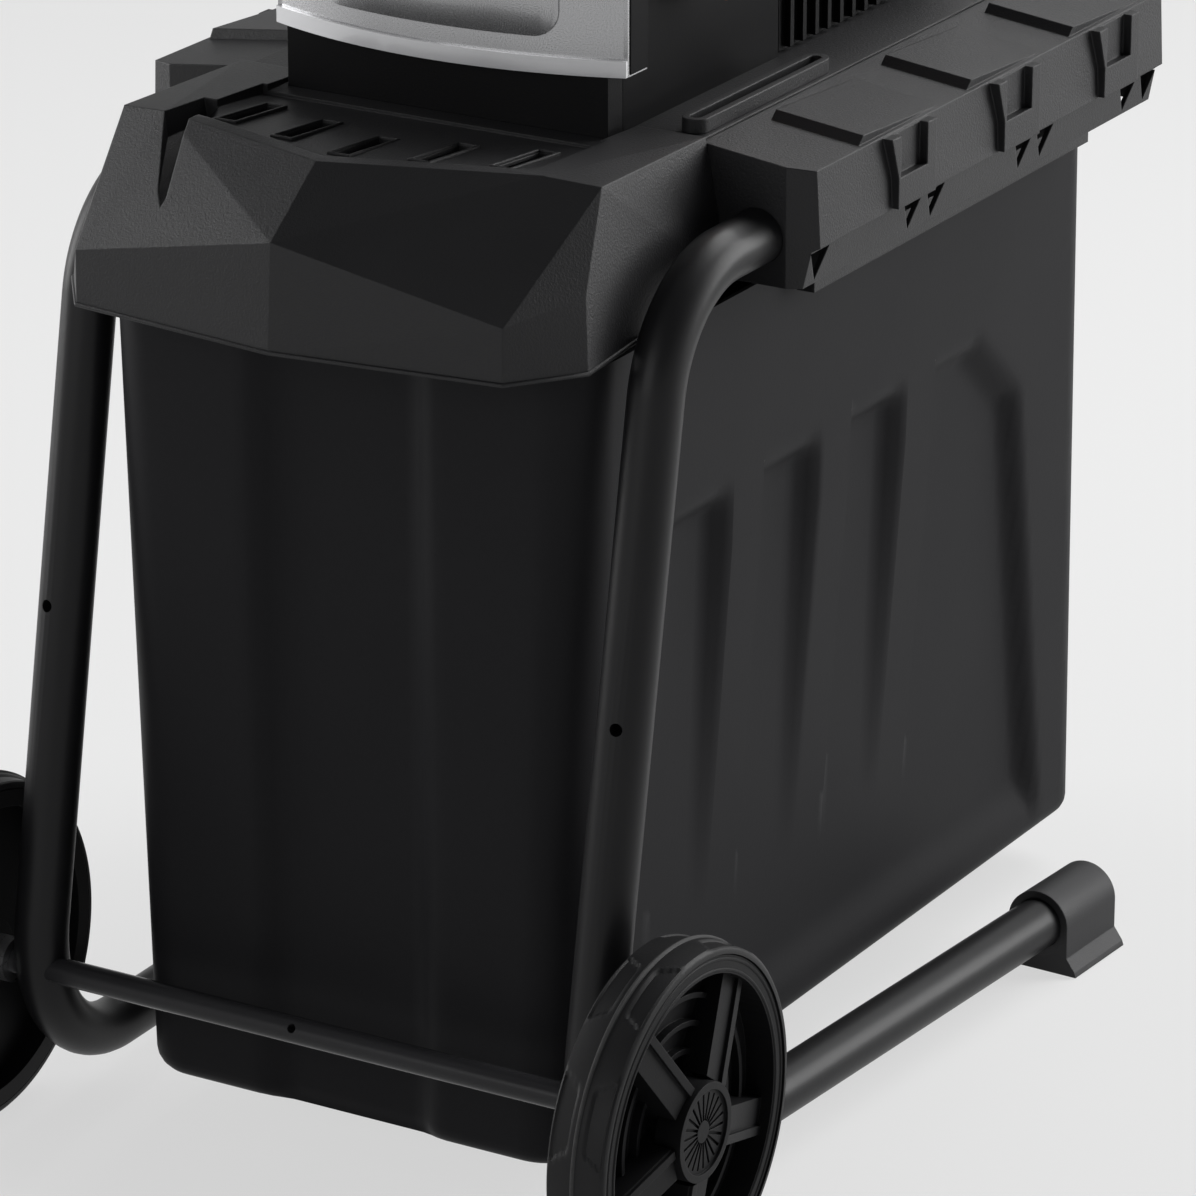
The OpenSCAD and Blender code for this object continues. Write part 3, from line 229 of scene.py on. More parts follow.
# %% Make the plastics
def moulded_plastic(name, level, rough, shine, grain, pit, edge=0.0012, tint=0.1):
    """Grained black plastic. grain is pits per metre, pit is their depth and edge the corners' radius."""
    f = Finish(name, IOR=1.46, Specular_IOR_Level=shine)
    fine, slow = f.noise(grain, 3.0, 0.6), f.noise(14.0, 3.0)
    shade = fine * 0.5 + slow * 0.5
    f.feed("Base Color", f.mix(shade, grey(level * 0.78, tint), grey(level * 1.22, tint)))
    f.feed("Roughness", slow * 0.14 + fine * 0.08 + (rough - 0.11))
    f.bump(fine, 0.35, pit, edge)
    return f.material


GRAINED = moulded_plastic("grained_black_plastic", 0.015, 0.48, 0.30, 760.0, 0.0008)
SATIN_BOX = moulded_plastic("satin_box_plastic", 0.0165, 0.48, 0.07, 420.0, 0.00012, 0.0)
FOOT = moulded_plastic("matte_foot_plastic", 0.018, 0.56, 0.34, 1100.0, 0.0004)
WHEEL = moulded_plastic("wheel_plastic", 0.0085, 0.48, 0.13, 700.0, 0.0002, 0.0006)
COVER = moulded_plastic("dark_cover_plastic", 0.007, 0.44, 0.10, 800.0, 0.0003, 0.0006)
PANEL = moulded_plastic("dark_panel_plastic", 0.007, 0.38, 0.06, 600.0, 0.0001, 0.0008)
print("plastics:", [m.name for m in (GRAINED, SATIN_BOX, FOOT, WHEEL, COVER, PANEL)])

# %% [markdown]
# ## Painted tube, axle and tyre
# The tubes carry a satin powder coat, which dries with a faint orange peel. The axle's paint is smoother
# and glossier. The tyres are a harder black with scuffs where the middle ridge meets the ground, so the
# scuff is painted by the distance from the axle.

# %% Make the coats and the tyre
AXLE_Z, SCUFF_R = 100 * MM, 99.1 * MM


def powder_coat(name, level, rough, peel):
    f = Finish(name, IOR=1.5, Coat_Roughness=0.22, Specular_IOR_Level=0.18)
    ripple, slow = f.noise(260.0, 2.0), f.noise(9.0, 2.0)
    f.feed("Base Color", f.mix(slow, grey(level * 0.85, 0.1), grey(level * 1.15, 0.1)))
    f.feed("Roughness", slow * 0.10 + ripple * 0.06 + (rough - 0.08))
    f.feed("Coat Weight", slow * 0.05 + 0.02)
    f.bump(ripple, 0.25, peel)
    return f.material


def scuffed_tyre(name):
    f = Finish(name, IOR=1.5, Specular_IOR_Level=0.2)
    apart = f.node("SeparateXYZ", Vector=f.place)
    y, z = Amount(f.tree, apart.outputs["Y"]), Amount(f.tree, apart.outputs["Z"])
    radius = ((y - axle_y) * (y - axle_y) + (z - AXLE_Z) * (z - AXLE_Z)) ** 0.5
    fine, slow = f.noise(700.0, 3.0), f.noise(60.0, 4.0, 0.7)
    scuff = (radius.above(SCUFF_R) * slow * 1.6).least(1.0)
    f.feed("Base Color", f.mix(scuff, grey(0.009, 0.1), grey(0.055)))
    f.feed("Roughness", fine * 0.12 + scuff * 0.2 + 0.42)
    f.bump(fine, 0.3, 0.0003)
    return f.material


TUBE = powder_coat("tube_powder_coat", 0.010, 0.42, 0.00015)
AXLE = powder_coat("axle_paint", 0.024, 0.24, 0.00001)
TYRE = scuffed_tyre("scuffed_tyre")
print("coats:", TUBE.name, AXLE.name, TYRE.name)

# %% [markdown]
# ## Silver lacquer and bright trim
# The fairing is a glossy silver lacquer: a metallic flake under a clear coat. The trim strip below it is
# nearly white and mirror-like. A clear coat over a soft metallic base gives both at once.

# %% Make the lacquers
def lacquer(name, level, metal, rough, coat):
    f = Finish(name, Coat_Weight=coat, Coat_Roughness=0.06, IOR=1.5)
    flake, slow = f.noise(2600.0, 1.0), f.noise(6.0, 2.0)
    dull, bright = (level * 0.9, level * 0.9, level * 0.92, 1), (level, level, level * 1.02, 1)
    f.feed("Base Color", f.mix(flake, dull, bright))
    f.feed("Metallic", slow * 0.1 + metal)
    f.feed("Roughness", flake * 0.10 + rough)
    return f.material


SILVER = lacquer("silver_lacquer", 0.42, 0.75, 0.22, 0.7)
TRIM = lacquer("bright_trim", 0.80, 0.15, 0.12, 0.9)
print("lacquers:", SILVER.name, TRIM.name)

# %% [markdown]
# ## Bare metals and small parts
# Inside the head sit ground steel, cast aluminium, lacquered iron and rubber. Brushing is a noise drawn
# out along the way the metal was turned or ground; a casting is a coarse, dull grain.

# %% Make the metals and the coloured plastics
def bare_metal(name, colour, rough, drawn, depth):
    f = Finish(name)
    lines, slow = f.noise(1.0, 3.0, 0.6, f.stretched(drawn)), f.noise(30.0, 3.0)
    dark = tuple(c * 0.72 for c in colour)
    f.feed("Base Color", f.mix(lines * 0.6 + slow * 0.4, (*dark, 1), (*colour, 1)))
    f.feed("Metallic", slow * 0.08 + 0.9)
    f.feed("Roughness", lines * 0.2 + (rough - 0.1))
    f.bump(lines, 0.2, depth)
    return f.material


def coloured_plastic(name, colour, rough):
    f = Finish(name, IOR=1.46, Coat_Weight=0.2, Coat_Roughness=0.15)
    fine, slow = f.noise(600.0, 2.0), f.noise(40.0, 2.0)
    f.feed("Base Color", f.mix(slow, (*(c * 0.85 for c in colour), 1), (*colour, 1)))
    f.feed("Roughness", fine * 0.1 + (rough - 0.05))
    f.bump(fine, 0.15, 0.0002)
    return f.material


STEEL = bare_metal("ground_steel", (0.56, 0.56, 0.57), 0.30, (500, 60, 500), 0.00008)
CUTTER = bare_metal("cutter_steel", (0.38, 0.38, 0.40), 0.38, (400, 30, 400), 0.0001)
CASTING = bare_metal("cast_aluminium", (0.60, 0.61, 0.62), 0.52, (420, 420, 420), 0.0004)
WINDING = bare_metal("lacquered_core", (0.42, 0.24, 0.12), 0.42, (900, 20, 900), 0.0002)
GREEN = coloured_plastic("green_button_plastic", (0.03, 0.32, 0.09), 0.32)
RED = coloured_plastic("red_plastic", (0.52, 0.03, 0.02), 0.34)
ORANGE = coloured_plastic("orange_knob_plastic", (0.72, 0.16, 0.02), 0.36)
CREAM = coloured_plastic("capacitor_case", (0.66, 0.65, 0.60), 0.38)
RUBBER = moulded_plastic("flap_rubber", 0.012, 0.66, 0.30, 500.0, 0.0004, 0.0006, 0.0)
small = (STEEL, CUTTER, CASTING, WINDING, GREEN, RED, ORANGE, CREAM, RUBBER)
print("small parts:", [m.name for m in small])

# %% [markdown]
# ## Dress the nodes
# Each node takes one finish. A node arrives as loose triangles, so a Weld joins them, and an Edge Split
# parts them again along the real edges only: round faces shade smoothly and flat ones stay flat. The thin
# light line that a moulding's rounded corner draws comes from the finish itself.

# %% Give every node its finish
finishes = {
    GRAINED: ["base_housing", "side_rail_left", "side_rail_right", "rail_slot_frame", "box_runners",
              "safety_switch", "discharge_chute", "hopper", "hopper_rim", "head_panel_rear",
              "control_panel", "box_handle"],
    COVER: ["motor_cover", "neck_housing", "cooling_fan", "mains_inlet", "direction_selector",
            "reset_button"],
    SATIN_BOX: ["collection_box"],
    FOOT: ["foot_left", "foot_right"],
    TUBE: ["frame_tube_left", "frame_tube_right"],
    AXLE: ["axle"],
    TYRE: ["tyre_left", "tyre_right"],
    WHEEL: ["wheel_rim_left", "wheel_rim_right", "hub_cap_left", "hub_cap_right"],
    SILVER: ["front_fairing"],
    PANEL: ["head_panel_left", "head_panel_right"],
    TRIM: ["fairing_trim"],
    STEEL: ["axle_washers", "axle_clips", "drum_shaft", "drum_gear", "drum_bearings", "idler_gear",
            "idler_pin", "motor_shaft", "rotor", "motor_bearings", "rail_screws", "adjusting_screw",
            "counter_plate"],
    CUTTER: ["cutting_drum"],
    CASTING: ["cutter_housing", "gearbox_case", "gearbox_cover", "motor_shields"],
    WINDING: ["stator"],
    CREAM: ["capacitor"],
    RUBBER: ["splash_flaps"],
    GREEN: ["on_button"],
    RED: ["off_button", "box_latch"],
    ORANGE: ["adjusting_knob"],
}
for finish, names in finishes.items():
    for name in names:
        nodes[name].data.materials.clear()
        nodes[name].data.materials.append(finish)
bare = sorted(set(nodes) - {n for names in finishes.values() for n in names})
print("nodes with a finish:", len(nodes) - len(bare), "without:", bare)


# %% Smooth the round faces
def smooth_faces(node, angle=32):
    """Joins a node's loose triangles and splits them only along real edges, by live modifiers."""
    weld = node.modifiers.new("join_triangles", "WELD")
    weld.merge_threshold = 0.00001
    edges = node.modifiers.new("keep_edges", "EDGE_SPLIT")
    edges.split_angle = math.radians(angle)


for name in nodes:
    smooth_faces(nodes[name])
flat = [name for name in nodes if not nodes[name].data.polygons[0].use_smooth]
print("smoothed:", len(nodes), "nodes, flat-shaded:", len(flat))

# %% [markdown]
# ## Tyres with a tread
# The real tyre is one hard moulding: a crowned band, a thin ridge round its middle that the ground has
# scuffed pale, and shallow panels with slanted ends sunk into both shoulders. The band is a profile spun
# round the axle, as on a lathe, fine enough for the panels to be pushed in afterwards.

# %% Spin the band
tyre_low, tyre_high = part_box("tyre_right")
WHEEL_X, TYRE_W = tyre_low.x, tyre_high.x - tyre_low.x
hub = Vector((0, axle_y, AXLE_Z))


def clear_selection():
    if bpy.context.object and bpy.context.object.mode != "OBJECT":
        bpy.ops.object.mode_set(mode="OBJECT")
    bpy.ops.object.select_all(action="DESELECT")


def pick(obj, test, mode="VERT"):
    """In edit mode, selects the vertices or faces that pass a test on their place (and normal)."""
    bpy.ops.mesh.select_all(action="DESELECT")
    bpy.ops.mesh.select_mode(type=mode)
    bpy.ops.object.mode_set(mode="OBJECT")
    for item in (obj.data.polygons if mode == "FACE" else obj.data.vertices):
        item.select = test(item.center, item.normal) if mode == "FACE" else test(item.co)
    bpy.ops.object.mode_set(mode="EDIT")


def focus(obj):
    """Leaves edit mode, and makes an object the active one and the only one selected."""
    clear_selection()
    obj.select_set(True)
    bpy.context.view_layer.objects.active = obj


def settle(obj):
    """Puts an object's place into its mesh, so that it sits at the origin."""
    focus(obj)
    bpy.ops.object.transform_apply(location=True, rotation=True, scale=True)


def spun_profile(name, profile, steps):
    """Draws [x, radius] points above the axle and spins them round it."""
    clear_selection()
    bpy.ops.mesh.primitive_plane_add(size=0.001, location=(profile[0][0], hub.y, hub.z + profile[0][1]))
    obj = bpy.context.object
    obj.name = name
    settle(obj)
    bpy.ops.object.mode_set(mode="EDIT")
    corner = obj.data.vertices[0].co.copy()
    pick(obj, lambda co: (co - corner).length > 1e-6)
    bpy.ops.mesh.delete(type="VERT")
    bpy.ops.mesh.select_all(action="SELECT")
    first = Vector((profile[0][0], hub.y, hub.z + profile[0][1]))
    bpy.ops.transform.translate(value=first - corner)
    for (x0, r0), (x1, r1) in zip(profile, profile[1:]):
        bpy.ops.mesh.extrude_region_move(TRANSFORM_OT_translate={"value": (x1 - x0, 0, r1 - r0)})
    bpy.ops.mesh.select_all(action="SELECT")
    bpy.ops.mesh.spin(steps=steps, angle=2 * math.pi, center=hub, axis=(1, 0, 0))
    bpy.ops.mesh.select_all(action="SELECT")
    bpy.ops.mesh.remove_doubles(threshold=1e-5)
    bpy.ops.mesh.normals_make_consistent(inside=False)
    bpy.ops.object.mode_set(mode="OBJECT")
    return obj


half = TYRE_W / 2
mid_x = WHEEL_X + half
PANELS, INNER, OUTER, SUNK = 8, 4 * MM, half - 1.6 * MM, 1.4 * MM
BAND_R, CROWN, RIDGE_HALF, BAND_STEPS = 97.2 * MM, 1.4 * MM, 1.6 * MM, 14
SHOULDER = [(half, 93.2 * MM), (half, 95.2 * MM), (half - 0.6 * MM, 96.4 * MM)]
RIDGE = [(1 * MM, 99.2 * MM), (0.4 * MM, 99.8 * MM)]
across = [OUTER - (OUTER - RIDGE_HALF) * i / BAND_STEPS for i in range(BAND_STEPS + 1)]
side = SHOULDER + [(u, BAND_R + CROWN * (1 - (u / half) ** 2)) for u in across] + RIDGE
profile = [(mid_x + x, r) for x, r in side] + [(mid_x - x, r) for x, r in reversed(side)]
tyre = spun_profile("tyre_tread_right", profile + profile[:1], 288)
print("band:", len(tyre.data.vertices), "vertices,", len(tyre.data.polygons), "faces")


# %% Sink the tread's panels
def ramp(distance, width):
    """Rises softly from 0 to 1 over a width."""
    t = min(max(distance / width, 0), 1)
    return t * t * (3 - 2 * t)


PANEL_HALF, PANEL_FLARE, PANEL_SLOPE, TREAD_R = 17 * MM, 7 * MM, 1.6 * MM, 96.6 * MM
pitch = 2 * math.pi / PANELS
for v in tyre.data.vertices:
    u, (y, z) = abs(v.co.x - mid_x), (v.co.y - hub.y, v.co.z - hub.z)
    radius = math.hypot(y, z)
    along = ((math.atan2(z, y) / pitch) % 1 - 0.5) * pitch * radius
    reach = PANEL_HALF + PANEL_FLARE * (u - INNER) / (OUTER - INNER)
    inside = min(reach - abs(along), u - INNER, OUTER - u + 0.6 * MM)
    if radius > TREAD_R and inside > 0:
        shrink = 1 - SUNK * ramp(inside, PANEL_SLOPE) / radius
        v.co.y, v.co.z = hub.y + y * shrink, hub.z + z * shrink
focus(tyre)
bpy.ops.object.shade_smooth_by_angle(angle=math.radians(28))
tyre.data.materials.clear()
tyre.data.materials.append(TYRE)
other = tyre.copy()
other.data = tyre.data.copy()
other.name = "tyre_tread_left"
other.data.transform(Matrix.Scale(-1, 4, (1, 0, 0)))
other.data.flip_normals()
bpy.context.scene.collection.objects.link(other)
for piece, side_name in ((tyre, "right"), (other, "left")):
    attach(piece, "wheel_" + side_name)
    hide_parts("tyre_" + side_name)
print("tyres:", 2 * PANELS, "panels each,", len(tyre.data.polygons), "faces")

# %% Raise two beads on the rim's face
FACE_X = WHEEL_X + TYRE_W - 1 * MM
BEAD_RADII = (90.5 * MM, 84.8 * MM)
# Half of a bead's section, as its height over the face and its distance from the bead's middle
BEAD_SECTION = [(-1.2 * MM, 1.2 * MM), (0.2 * MM, 1 * MM)]
BEAD_TOP = 0.7 * MM
for side_name, sign in (("right", 1), ("left", -1)):
    for at in BEAD_RADII:
        ring = [(x, at - away) for x, away in BEAD_SECTION] + [(BEAD_TOP, at)]
        ring += [(x, at + away) for x, away in reversed(BEAD_SECTION)]
        lifted = spun_profile(f"rim_bead_{side_name}", [(FACE_X + x, r) for x, r in ring], 96)
        if sign < 0:
            lifted.data.transform(Matrix.Scale(-1, 4, (1, 0, 0)))
            lifted.data.flip_normals()
        bpy.ops.object.shade_smooth_by_angle(angle=math.radians(60))
        lifted.data.materials.append(WHEEL)
        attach(lifted, "wheel_" + side_name)
print("rim beads: two on each wheel, at x", round(FACE_X, 4), "m")

# %% [markdown]
# ## The frame tubes
# Each tube is one bent pipe: an upper run under the rail, a leg that leans back, and a floor run that turns
# out a little. Its centre line is worked out from the same corners and bends as the construction, and a
# round curve follows it closely. The hole in the leg's front is then drilled.


# %% Bend the tubes
def bent_path(corners, radii, steps=28):
    """Points along straight runs that are joined by round bends."""
    points = [corners[0]]
    for before, corner, after, radius in zip(corners, corners[1:], corners[2:], radii):
        a, b = (corner - before).normalized(), (after - corner).normalized()
        turn = a.angle(b)
        inward = (b - a.dot(b) * a).normalized()
        start = corner - a * radius * math.tan(turn / 2)
        points += [start + radius * (math.sin(t) * a + (1 - math.cos(t)) * inward)
                   for t in (turn * i / steps for i in range(steps + 1))]
    return points + [corners[-1]]


def swept(name, points, radius, segments):
    """A round bar of one radius along a line of points, made as a curve and turned into a mesh."""
    data = bpy.data.curves.new(name, "CURVE")
    data.dimensions, data.use_fill_caps = "3D", True
    data.bevel_depth, data.bevel_resolution = radius, segments
    line = data.splines.new("POLY")
    line.points.add(len(points) - 1)
    for point, place in zip(line.points, points):
        point.co = (*place, 1)
    obj = bpy.data.objects.new(name, data)
    bpy.context.scene.collection.objects.link(obj)
    focus(obj)
    bpy.ops.object.convert(target="MESH")
    return bpy.context.object


def drill(obj, name, start, way, length, radius):
    """Cuts a round hole into an object."""
    clear_selection()
    bpy.ops.mesh.primitive_cylinder_add(vertices=32, radius=radius, depth=length)
    bit = bpy.context.object
    bit.name = name
    bit.data.transform(Matrix.Translation(start + way.normalized() * length / 2)
                       @ way.to_track_quat("Z", "Y").to_matrix().to_4x4())
    focus(obj)
    cut = obj.modifiers.new(name, "BOOLEAN")
    cut.object, cut.operation, cut.solver = bit, "DIFFERENCE", "EXACT"
    bpy.ops.object.modifier_apply(modifier=name)
    bpy.data.objects.remove(bit)


LEG_X, LEG_LEAN, TOE_OUT = 175 * MM, math.radians(10.3), math.radians(2.6)
TUBE_R, BEND_RADII = 15 * MM, (72 * MM, 76 * MM)
HOLE_Z, HOLE_TURN, HOLE_DEPTH, HOLE_R = 300 * MM, math.radians(11), 30 * MM, 3.5 * MM


def leg_place(z):
    return Vector((LEG_X, axle_y + (z - AXLE_Z) * math.tan(LEG_LEAN), z))


FLOOR_RUN, RUN_END = 530 * MM, 515 * MM
TOP_Z, LOW_Z, END_Z = 527 * MM, 38 * MM, 28 * MM
corners = [Vector((LEG_X, axle_y + RUN_END, TOP_Z)), leg_place(TOP_Z), leg_place(LOW_Z),
           Vector((LEG_X + FLOOR_RUN * math.tan(TOE_OUT), axle_y + FLOOR_RUN, END_Z))]
for side_name, sign in (("right", 1), ("left", -1)):
    points = [(sign * place.x, place.y, place.z) for place in bent_path(corners, BEND_RADII)]
    pipe = swept("tube_" + side_name, points, TUBE_R, 12)
    lean, turn = Matrix.Rotation(-LEG_LEAN, 3, "X"), Matrix.Rotation(sign * HOLE_TURN, 3, "Z")
    inner = leg_place(HOLE_Z)
    drill(pipe, "leg_hole", Vector((sign * inner.x, inner.y, inner.z)), lean @ turn @ Vector((0, -1, 0)),
          HOLE_DEPTH, HOLE_R)
    focus(pipe)
    bpy.ops.object.shade_smooth_by_angle(angle=math.radians(35))
    pipe.data.materials.clear()
    pipe.data.materials.append(TUBE)
    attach(pipe, "chassis")
    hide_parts("frame_tube_" + side_name)
    low = [min(v.co[i] for v in pipe.data.vertices) for i in range(3)]
    print("tube:", side_name, len(pipe.data.polygons), "faces, lowest", [round(v, 3) for v in low])

# %% [markdown]
# ## The collection box
# The box is the largest face in the picture: one deep moulding with broad round corners, a sunk strip down
# its front, and on each side a sunk field with four ribs that fade out towards the floor. It starts as a
# cube at the box's size, is tapered and rounded by bevels, cut into a fine grid of planes, and the fields
# are then pushed in by a soft ramp, which keeps the slow shading of a real moulding.

# %% Block out the box
BOX_ROUND, FLOOR_ROUND, WALL, RELIEF = 30 * MM, 12 * MM, 2.6 * MM, 9 * MM
BOX_TAPER, REAR_LEAN, FLANGE_OUT = 13 * MM, 34 * MM, 6 * MM
box_low, box_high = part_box("collection_box")
box_w = box_high.x - FLANGE_OUT
front_y, rear_top = box_low.y, box_high.y - REAR_LEAN
clear_selection()
bpy.ops.mesh.primitive_cube_add(size=1, location=(0, (front_y + rear_top) / 2, (box_low.z + box_high.z) / 2))
shell = bpy.context.object
shell.name = "box_shell"
shell.scale = (2 * box_w, rear_top - front_y, box_high.z - box_low.z)
settle(shell)


def pick_edges(obj, test):
    """In edit mode, selects the edges whose two ends pass a test."""
    bpy.ops.mesh.select_all(action="DESELECT")
    bpy.ops.mesh.select_mode(type="EDGE")
    bpy.ops.object.mode_set(mode="OBJECT")
    for edge in obj.data.edges:
        edge.select = test(*(obj.data.vertices[i].co for i in edge.vertices))
    bpy.ops.object.mode_set(mode="EDIT")


bpy.ops.object.mode_set(mode="EDIT")
middle_z = (box_low.z + box_high.z) / 2
pick(shell, lambda co: co.z < middle_z)
bpy.ops.transform.resize(value=((box_w - BOX_TAPER) / box_w, 1, 1))
pick(shell, lambda co: co.z < middle_z and co.y > 0)
bpy.ops.transform.translate(value=(0, REAR_LEAN, 0))
pick_edges(shell, lambda a, b: abs(a.z - b.z) > 0.1)
bpy.ops.mesh.bevel(offset=BOX_ROUND, segments=12, affect="EDGES")
pick(shell, lambda co, n: n.z < -0.9, "FACE")
bpy.ops.mesh.bevel(offset=FLOOR_ROUND, segments=5, affect="EDGES")
pick(shell, lambda co, n: n.z > 0.9, "FACE")
bpy.ops.mesh.delete(type="ONLY_FACE")
print("box:", len(shell.data.polygons), "faces before the grid")

# %% Cut the grid and sink the fields
GRID = 6 * MM
RIB_W, RIB_SLOPE, RIB_EDGE = 32 * MM, 19 * MM, 1.2 * MM
rib_starts = [front_y + (62 + 98.5 * i) * MM for i in range(4)]
cuts = {"x": [GRID * i for i in range(-18, 19)],
        "y": [front_y + 40 * MM + GRID * i for i in range(92)],
        "z": [box_low.z + 20 * MM + GRID * i for i in range(72)]}
for start in rib_starts:
    cuts["y"] += [start, start + RIB_W, start + RIB_W + RIB_EDGE]
for axis, planes in cuts.items():
    way = Vector((axis == "x", axis == "y", axis == "z"))
    for at in planes:
        bpy.ops.mesh.select_all(action="SELECT")
        bpy.ops.mesh.bisect(plane_co=way * at, plane_no=way)
bpy.ops.object.mode_set(mode="OBJECT")


# Edges of the side's sunk field, from the box's front and floor
FIELD_FRONT, FIELD_REAR, FIELD_LOW, FIELD_TOP = 50 * MM, 552 * MM, 8 * MM, 348 * MM
REAR_FALL, REAR_FOOT = 0.19, 26 * MM
CORNER_FALL, CORNER_SUM = 0.84, 721 * MM
FIELD_SLOPE, FRONT_SLOPE, TOP_SLOPE, LOW_SLOPE = 17 * MM, 16 * MM, 14 * MM, 40 * MM
FADE_FROM, FADE_RUN = 95 * MM, 215 * MM
STRIP_HALF, STRIP_SLOPE, FIELD_CLEAR = 58 * MM, 18 * MM, 45 * MM


def side_depth(y, z):
    """How far a side wall is sunk at a place, as a share of the relief."""
    up, along = z - box_low.z, y - front_y
    rear = FIELD_REAR - REAR_FALL * (up - REAR_FOOT) - along
    corner = (CORNER_SUM - CORNER_FALL * along - up) / 1.3
    edges = [(along - FIELD_FRONT, FRONT_SLOPE), (FIELD_TOP - up, TOP_SLOPE), (up - FIELD_LOW, LOW_SLOPE),
             (rear, FIELD_SLOPE), (corner, FIELD_SLOPE)]
    field = min(ramp(d, w) for d, w in edges)
    fade = min(max((up - FADE_FROM) / FADE_RUN, 0), 1)
    rib = max(ramp(y - start + RIB_SLOPE, RIB_SLOPE) * (1 - ramp(y - start - RIB_W, RIB_EDGE))
              for start in rib_starts)
    return field * (1 - rib * fade)


def front_depth(x):
    """How far the front is sunk, as a share of the relief."""
    return ramp(STRIP_HALF - abs(x), STRIP_SLOPE)


for v in shell.data.vertices:
    x, y, z = v.co
    if front_y + FIELD_CLEAR < y < box_high.y - FIELD_CLEAR and abs(x) > 0.1:
        v.co.x -= math.copysign(RELIEF * side_depth(y, z), x)
    if y < front_y + FLOOR_ROUND + MM:
        v.co.y += RELIEF * front_depth(x) * (1 - ramp(y - front_y, FLOOR_ROUND + MM))
focus(shell)
wall = shell.modifiers.new("wall", "SOLIDIFY")
wall.thickness, wall.offset = WALL, -1
bpy.ops.object.modifier_apply(modifier="wall")
print("box:", len(shell.data.polygons), "faces")


# %% Add the box's flange and the latch's guides
def trim_block(name, low, high, edge):
    """A bar between two corners with rounded edges."""
    clear_selection()
    low, high = Vector(low), Vector(high)
    bpy.ops.mesh.primitive_cube_add(size=1, location=(low + high) / 2)
    bar = bpy.context.object
    bar.name = name
    bar.scale = high - low
    settle(bar)
    bpy.ops.object.mode_set(mode="EDIT")
    bpy.ops.mesh.select_all(action="SELECT")
    bpy.ops.mesh.bevel(offset=edge, segments=2, affect="EDGES")
    bpy.ops.object.mode_set(mode="OBJECT")
    return bar


runner_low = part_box("box_runners")[0]
latch_low, latch_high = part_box("box_latch")
FLANGE_DROP, FLANGE_T, GUIDE, PLAY = 10 * MM, 6 * MM, 6 * MM, 0.3 * MM
guide_y = latch_low.y + 8 * MM
bars = []
for sign in (-1, 1):
    ends = sorted((sign * (box_w - 2 * MM), sign * box_high.x))
    bars.append(trim_block("flange", (ends[0], runner_low.y + 4 * MM, box_high.z - FLANGE_DROP),
                           (ends[1], rear_top - BOX_ROUND, box_high.z - FLANGE_DROP + FLANGE_T), 0.8 * MM))
    near, far = latch_high.x + PLAY, latch_high.x + PLAY + GUIDE
    ends = sorted((sign * near, sign * far))
    bars.append(trim_block("guide", (ends[0], rear_top - MM, latch_low.z),
                           (ends[1], guide_y + 3 * MM, box_high.z), 0.6 * MM))
    ends = sorted((sign * (latch_high.x - 4 * MM), sign * far))
    bars.append(trim_block("guide_lip", (ends[0], guide_y + PLAY, latch_low.z),
                           (ends[1], guide_y + 3 * MM, box_high.z), 0.6 * MM))
clear_selection()
for bar in bars:
    bar.select_set(True)
shell.select_set(True)
bpy.context.view_layer.objects.active = shell
bpy.ops.object.join()
bpy.ops.object.shade_smooth_by_angle(angle=math.radians(35))
shell.data.materials.clear()
shell.data.materials.append(SATIN_BOX)
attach(shell, "box")
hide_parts("collection_box")
print("box with flange and guides:", len(shell.data.polygons), "faces")

# %% [markdown]
# ## The lip under the base
# A thin double line runs along the lower edge of the base: the moulding ends in a rounded bead. A bead
# of constant section along a path is what a bevelled curve is for; it is turned into a mesh at the end.

# %% Run the bead along the skirt
def bead(name, points, radius, finish, body):
    obj = swept(name, points, radius, 2)
    bpy.ops.object.shade_smooth_by_angle(angle=math.radians(40))
    obj.data.materials.clear()
    obj.data.materials.append(finish)
    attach(obj, body)
    return obj


skirt_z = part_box("base_housing")[0].z
LIP_R, LIP_UP = 1.3 * MM, 1.2 * MM
# Half of the lip's line from the axle: across, back and up from the skirt
outline = [(158, 150, 9.8), (158, 28, 0), (130, -9.5, 0), (0, -26, 0)]
path = [(x * MM, y * MM + axle_y, skirt_z + rise * MM + LIP_UP) for x, y, rise in outline]
path += [(-x, y, z) for x, y, z in reversed(path[:-1])]
lip = bead("skirt_lip", path, LIP_R, GRAINED, "chassis")
print("lip:", len(lip.data.polygons), "faces")

# %% [markdown]
# ## Rims and grilles of the vents
# Each vent slot behind the brow has a thin raised rim, and a fine grille lies a little way down in it. The
# rim is a plate that is inset, opened and extruded; the grille is a grid turned into bars.

# %% Frame the vents
VENT_W, VENT_L, VENT_TILT = 10.4 * MM, 46.4 * MM, math.radians(-4.5)
VENT_RIM, VENT_RISE, GRILLE_DEPTH, GRILLE_BAR = 1.6 * MM, 2.4 * MM, 1.6 * MM, 1.1 * MM
VENT_TOP, VENT_SPAN, VENT_FRONT, VENT_LEAN = 575.4 * MM, 84 * MM, 44 * MM, 0.26


